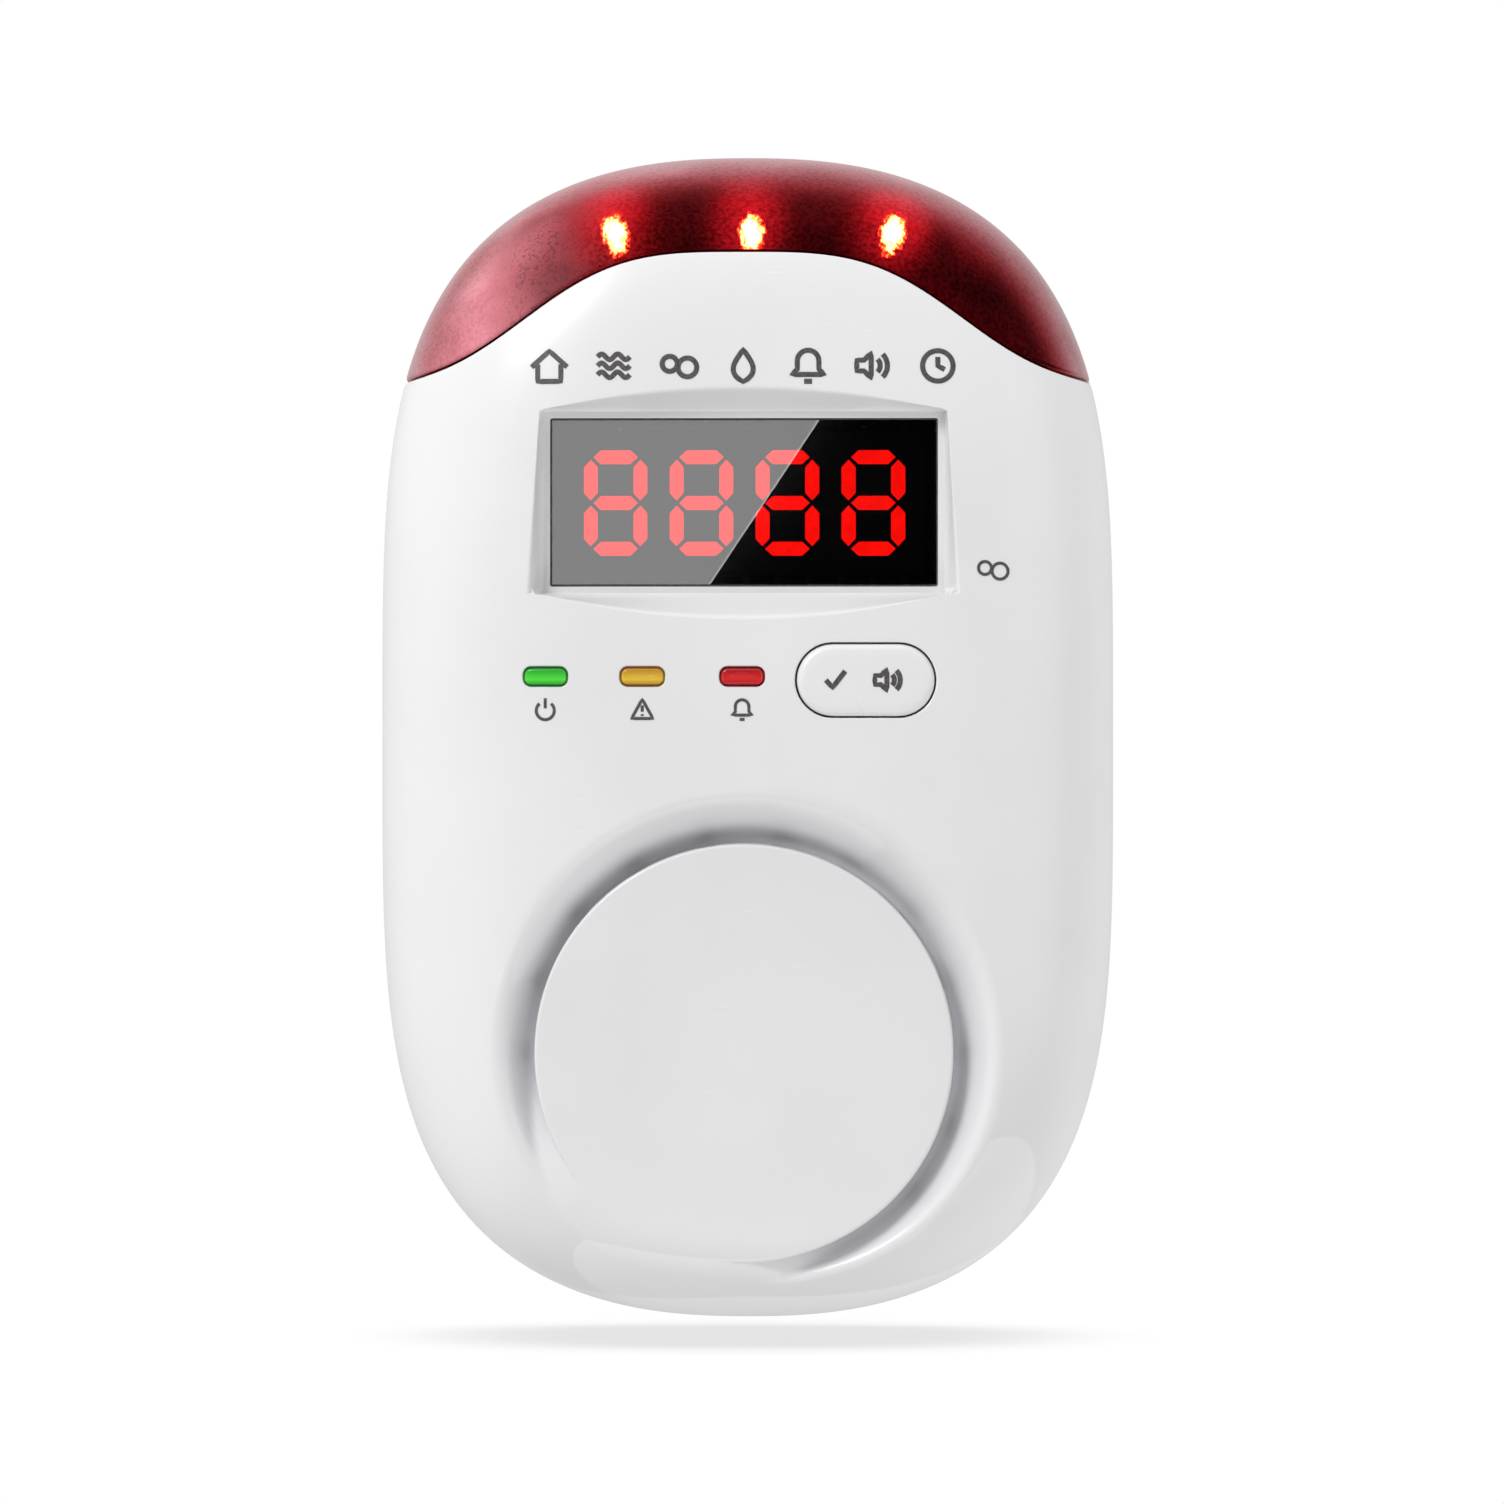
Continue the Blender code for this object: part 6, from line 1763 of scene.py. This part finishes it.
def camera_place():
    """Straight on and a little to the right."""
    reach = CAMERA_DISTANCE * Vector((math.sin(CAMERA_SIDE), -math.cos(CAMERA_SIDE), 0))
    return Vector((0, PARTING_Y, 0)) + reach


def make_camera():
    data = bpy.data.cameras.new("camera")
    data.sensor_width = SENSOR
    data.lens = SENSOR * CAMERA_DISTANCE / FRAME_WIDTH
    camera = bpy.data.objects.new("camera", data)
    bpy.context.scene.collection.objects.link(camera)
    camera.location = camera_place()
    camera.rotation_euler = (AIM - camera.location).to_track_quat("-Z", "Y").to_euler()
    bpy.context.scene.camera = camera


def make_light(name, place, size, power):
    """A round lamp that shines at the middle of the object."""
    data = bpy.data.lights.new(name, "AREA")
    data.shape, data.size, data.energy = "DISK", size, power
    light = bpy.data.objects.new(name, data)
    bpy.context.scene.collection.objects.link(light)
    light.location = place
    light.rotation_euler = (Vector() - Vector(place)).to_track_quat("-Z", "Y").to_euler()


def make_world():
    """White behind the object, soft light all round, and a dark gap in front for clean reflections."""
    world = bpy.data.worlds.new("studio")
    world.use_nodes = True
    tree = world.node_tree
    tree.nodes.clear()

    def node(kind, **settings):
        made = tree.nodes.new(kind)
        for key, value in settings.items():
            setattr(made, key, value)
        return made

    direction = node("ShaderNodeSeparateXYZ")
    tree.links.new(node("ShaderNodeTexCoord").outputs["Generated"], direction.inputs[0])
    path = node("ShaderNodeLightPath")
    shades = []
    for ramp in (SOFT_LIGHT, DARK_GAP, None):
        shade_node = node("ShaderNodeBackground")
        shade_node.inputs["Color"].default_value = (1, 1, 1, 1)
        if ramp:
            away = node("ShaderNodeMath", operation="SUBTRACT")
            away.inputs[1].default_value = ramp[0]
            tree.links.new(direction.outputs["Y"], away.inputs[0])
            gap = node("ShaderNodeMath", operation="ABSOLUTE")
            tree.links.new(away.outputs[0], gap.inputs[0])
            strength = node("ShaderNodeMapRange", interpolation_type="SMOOTHSTEP")
            for key, value in zip(("From Min", "From Max", "To Min", "To Max"), ramp[1:]):
                strength.inputs[key].default_value = value
            tree.links.new(gap.outputs[0], strength.inputs["Value"])
            tree.links.new(strength.outputs["Result"], shade_node.inputs["Strength"])
        shades.append(shade_node.outputs[0])
    result = shades[0]
    for ray, other in (("Is Glossy Ray", shades[1]), ("Is Camera Ray", shades[2])):
        mixer = node("ShaderNodeMixShader")
        tree.links.new(path.outputs[ray], mixer.inputs["Fac"])
        tree.links.new(result, mixer.inputs[1])
        tree.links.new(other, mixer.inputs[2])
        result = mixer.outputs[0]
    tree.links.new(result, node("ShaderNodeOutputWorld").inputs["Surface"])
    bpy.context.scene.world = world


def stage_plane(name, corners, finish):
    mesh = bpy.data.meshes.new(name)
    mesh.from_pydata([tuple(corner) for corner in corners], [], [tuple(range(len(corners)))])
    made = bpy.data.objects.new(name, mesh)
    bpy.context.scene.collection.objects.link(made)
    mesh.materials.append(finish)
    made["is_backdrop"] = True
    return made


def make_floor():
    """A pale floor, with a soft patch of shade under the object, that fades into the background."""
    paint = Finish("floor_paint", (0, 0, 0), 1.0, Specular_IOR_Level=0.0)
    nearby = paint.node("ShaderNodeAmbientOcclusion", {"samples": 16}, Distance=FLOOR_SHADE_REACH)
    tone = paint.remap(nearby.outputs["AO"], 0.25, 0.8, FLOOR_SHADE, 1.0)
    paint.set("Emission Color", (1, 1, 1, 1))
    paint.set("Emission Strength", paint.maths("MULTIPLY", tone, paint.seen_only(1.0, FLOOR_BOUNCE)))
    distance = paint.node("ShaderNodeVectorMath", {"operation": "LENGTH"})
    paint.wire(distance.inputs[0], paint.place)
    fade = paint.remap(distance.outputs["Value"], *FLOOR_FADE)
    clear = paint.see_through((1, 1, 1, 1))
    finish = paint.surface(paint.layers(fade, paint.shader.outputs[0], clear))
    z = -HALF_Z - FLOOR_DROP
    sides = ((-1, -1), (1, -1), (1, 1), (-1, 1))
    corners = [(x * FLOOR_HALF, y * FLOOR_HALF, z) for x, y in sides]
    stage_plane("floor", corners, finish).visible_shadow = False


def make_glare():
    """A card that only reflections see, so that the window shows a pale corner with a slanting edge."""
    camera = camera_place()
    (top_x, top_z), (foot_x, foot_z) = GLARE_EDGE

    def mirrored(x, z):
        return (2 * x - camera.x, camera.y, 2 * z - camera.z)

    def card(name, left_top, left_foot, right, strength):
        paint = bpy.data.materials.new(name)
        paint.use_nodes = True
        shader = paint.node_tree.nodes["Principled BSDF"]
        shader.inputs["Base Color"].default_value = (0, 0, 0, 1)
        shader.inputs["Emission Color"].default_value = (1, 1, 1, 1)
        shader.inputs["Emission Strength"].default_value = strength
        corners = [mirrored(left_foot, foot_z), mirrored(foot_x + right, foot_z)]
        corners += [mirrored(top_x + right, top_z), mirrored(left_top, top_z)]
        made = stage_plane(name, corners, paint)
        made.visible_camera = made.visible_diffuse = made.visible_shadow = False
        made.visible_transmission = made.visible_volume_scatter = False

    card("glare_card", GLARE_LEFT, GLARE_LEFT, 0.0, GLARE)
    start, end = GLARE_LINE_PLACE
    card("glare_line", top_x + start, foot_x + start, end, GLARE_LINE)


def make_stage():
    bpy.context.scene.view_settings.view_transform = "Standard"
    make_world()
    for name, light in LIGHTS.items():
        make_light(name, *light)
    make_floor()
    make_glare()


# ---------------------------------------------------------------- the whole detector


def lamp_boxes():
    """The middle and the height of each strobe lamp, by name."""
    boxes = {name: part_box(f"strobe_lamp_{name}") for name in LAMPS}
    return {name: ((low + high) / 2, high.z - low.z) for name, (low, high) in boxes.items()}


def make_shells(white, rear):
    make_front_cover(white.material)
    make_strobe_lens(lens_finish([middle for middle, _ in lamp_boxes().values()]))
    make_rear_cover(rear.material)


def make_lights():
    for name, place in lamp_boxes().items():
        make_strobe_lamp(name, lamp_finish(*place))
    for name in INDICATORS:
        bright, dark = PIPE_COLOURS[name]
        make_light_pipe(name, pipe_finish(name, bright, dark, PIPE_FACES[name]))
        repaint(glowing(f"{name}_chip", bright, 0.6).material, f"{name}_lamp")


def paint_display():
    make_window(window_finish())
    repaint(moulded("display_black", (0.008, 0.008, 0.009), 0.5).material, "display_shell")
    repaint(glowing("red_bar_light", (1.0, 0.004, 0.002), 6.0).material, "display_light_guide")


def paint_inside():
    black = moulded("switch_black", (0.02, 0.02, 0.022), 0.45).material
    repaint(black, "tact_switch_body", "microcontroller", "display_driver", "gas_sensor_base")
    repaint(moulded("sounder_black", (0.03, 0.03, 0.032), 0.5).material, "sounder_housing", "sounder_lid")
    repaint(moulded("plunger_ivory", (0.62, 0.58, 0.48), 0.4).material, "tact_switch_plunger")
    repaint(moulded("bracket_grey", (0.30, 0.30, 0.31), 0.5).material, "strobe_bracket")
    repaint(board_finish(), "display_board", "power_board", "strobe_board")
    zinc = metal("zinc_plate", (0.72, 0.72, 0.70), 0.32).material
    for board in ("display", "power"):
        repaint(zinc, f"{board}_board_screw_left", f"{board}_board_screw_right")
    for number in range(1, SCREW_COUNT + 1):
        make_screw(number, zinc)
    repaint(metal("brass_disc", (0.80, 0.58, 0.28), 0.3).material, "piezo_plate")
    repaint(moulded("piezo_white", (0.80, 0.78, 0.72), 0.35).material, "piezo_ceramic")
    repaint(metal("sensor_steel", (0.62, 0.62, 0.60), 0.38).material, "gas_sensor_cap")
    repaint(metal("ferrite_core", (0.07, 0.07, 0.075), 0.6).material, "transformer_core")
    repaint(striped("coil_tape", (0.72, 0.50, 0.08), (0.5, 0.3, 0.05), 0.8 * MM, 0.35), "transformer_coil")
    repaint(metal("capacitor_aluminium", (0.66, 0.67, 0.68), 0.34).material, "filter_capacitor")
    repaint(moulded("fuse_ceramic", (0.72, 0.70, 0.62), 0.25).material, "fuse")
    repaint(moulded("varistor_blue", (0.03, 0.10, 0.38), 0.35).material, "varistor")
    repaint(striped("ribbon_grey", (0.42, 0.43, 0.45), (0.25, 0.26, 0.28), 1.0 * MM, 0.45), "ribbon_cable")
    red = moulded("red_wire", (0.55, 0.02, 0.02), 0.35).material
    dark = moulded("black_wire", (0.02, 0.02, 0.02), 0.35).material
    repaint(red, "live_wire", "sounder_lead_red", "strobe_lead_red")
    repaint(dark, "neutral_wire", "sounder_lead_black", "strobe_lead_black")


def make_plug():
    make_holder(moulded("holder_black", (0.025, 0.025, 0.027), 0.42).material)
    brass = metal("blade_nickel", (0.76, 0.73, 0.66), 0.26, (1, 12, 1)).material
    for name in BLADES:
        make_blade(name, brass)


def main():
    smooth = {"depth": 0.002 * MM, "edge": 0, "wear": 0}
    white = moulded("white_abs_gloss", (0.84, 0.84, 0.85), 0.24, recess=0.9, **smooth)
    rear = moulded("white_abs_rear", (0.80, 0.80, 0.80), 0.42, grain=0.22 * MM, depth=0.012 * MM)
    make_shells(white, rear)
    make_button(moulded("white_button", (0.84, 0.84, 0.85), 0.26, **smooth).material)
    make_lights()
    paint_display()
    make_marks(ink_finish())
    make_plug()
    paint_inside()
    make_camera()
    make_stage()


main()
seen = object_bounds()
boxes = {"cad": CAD_BOX, "visual": seen}
{name: [list(corner) for corner in box] for name, box in boxes.items()}
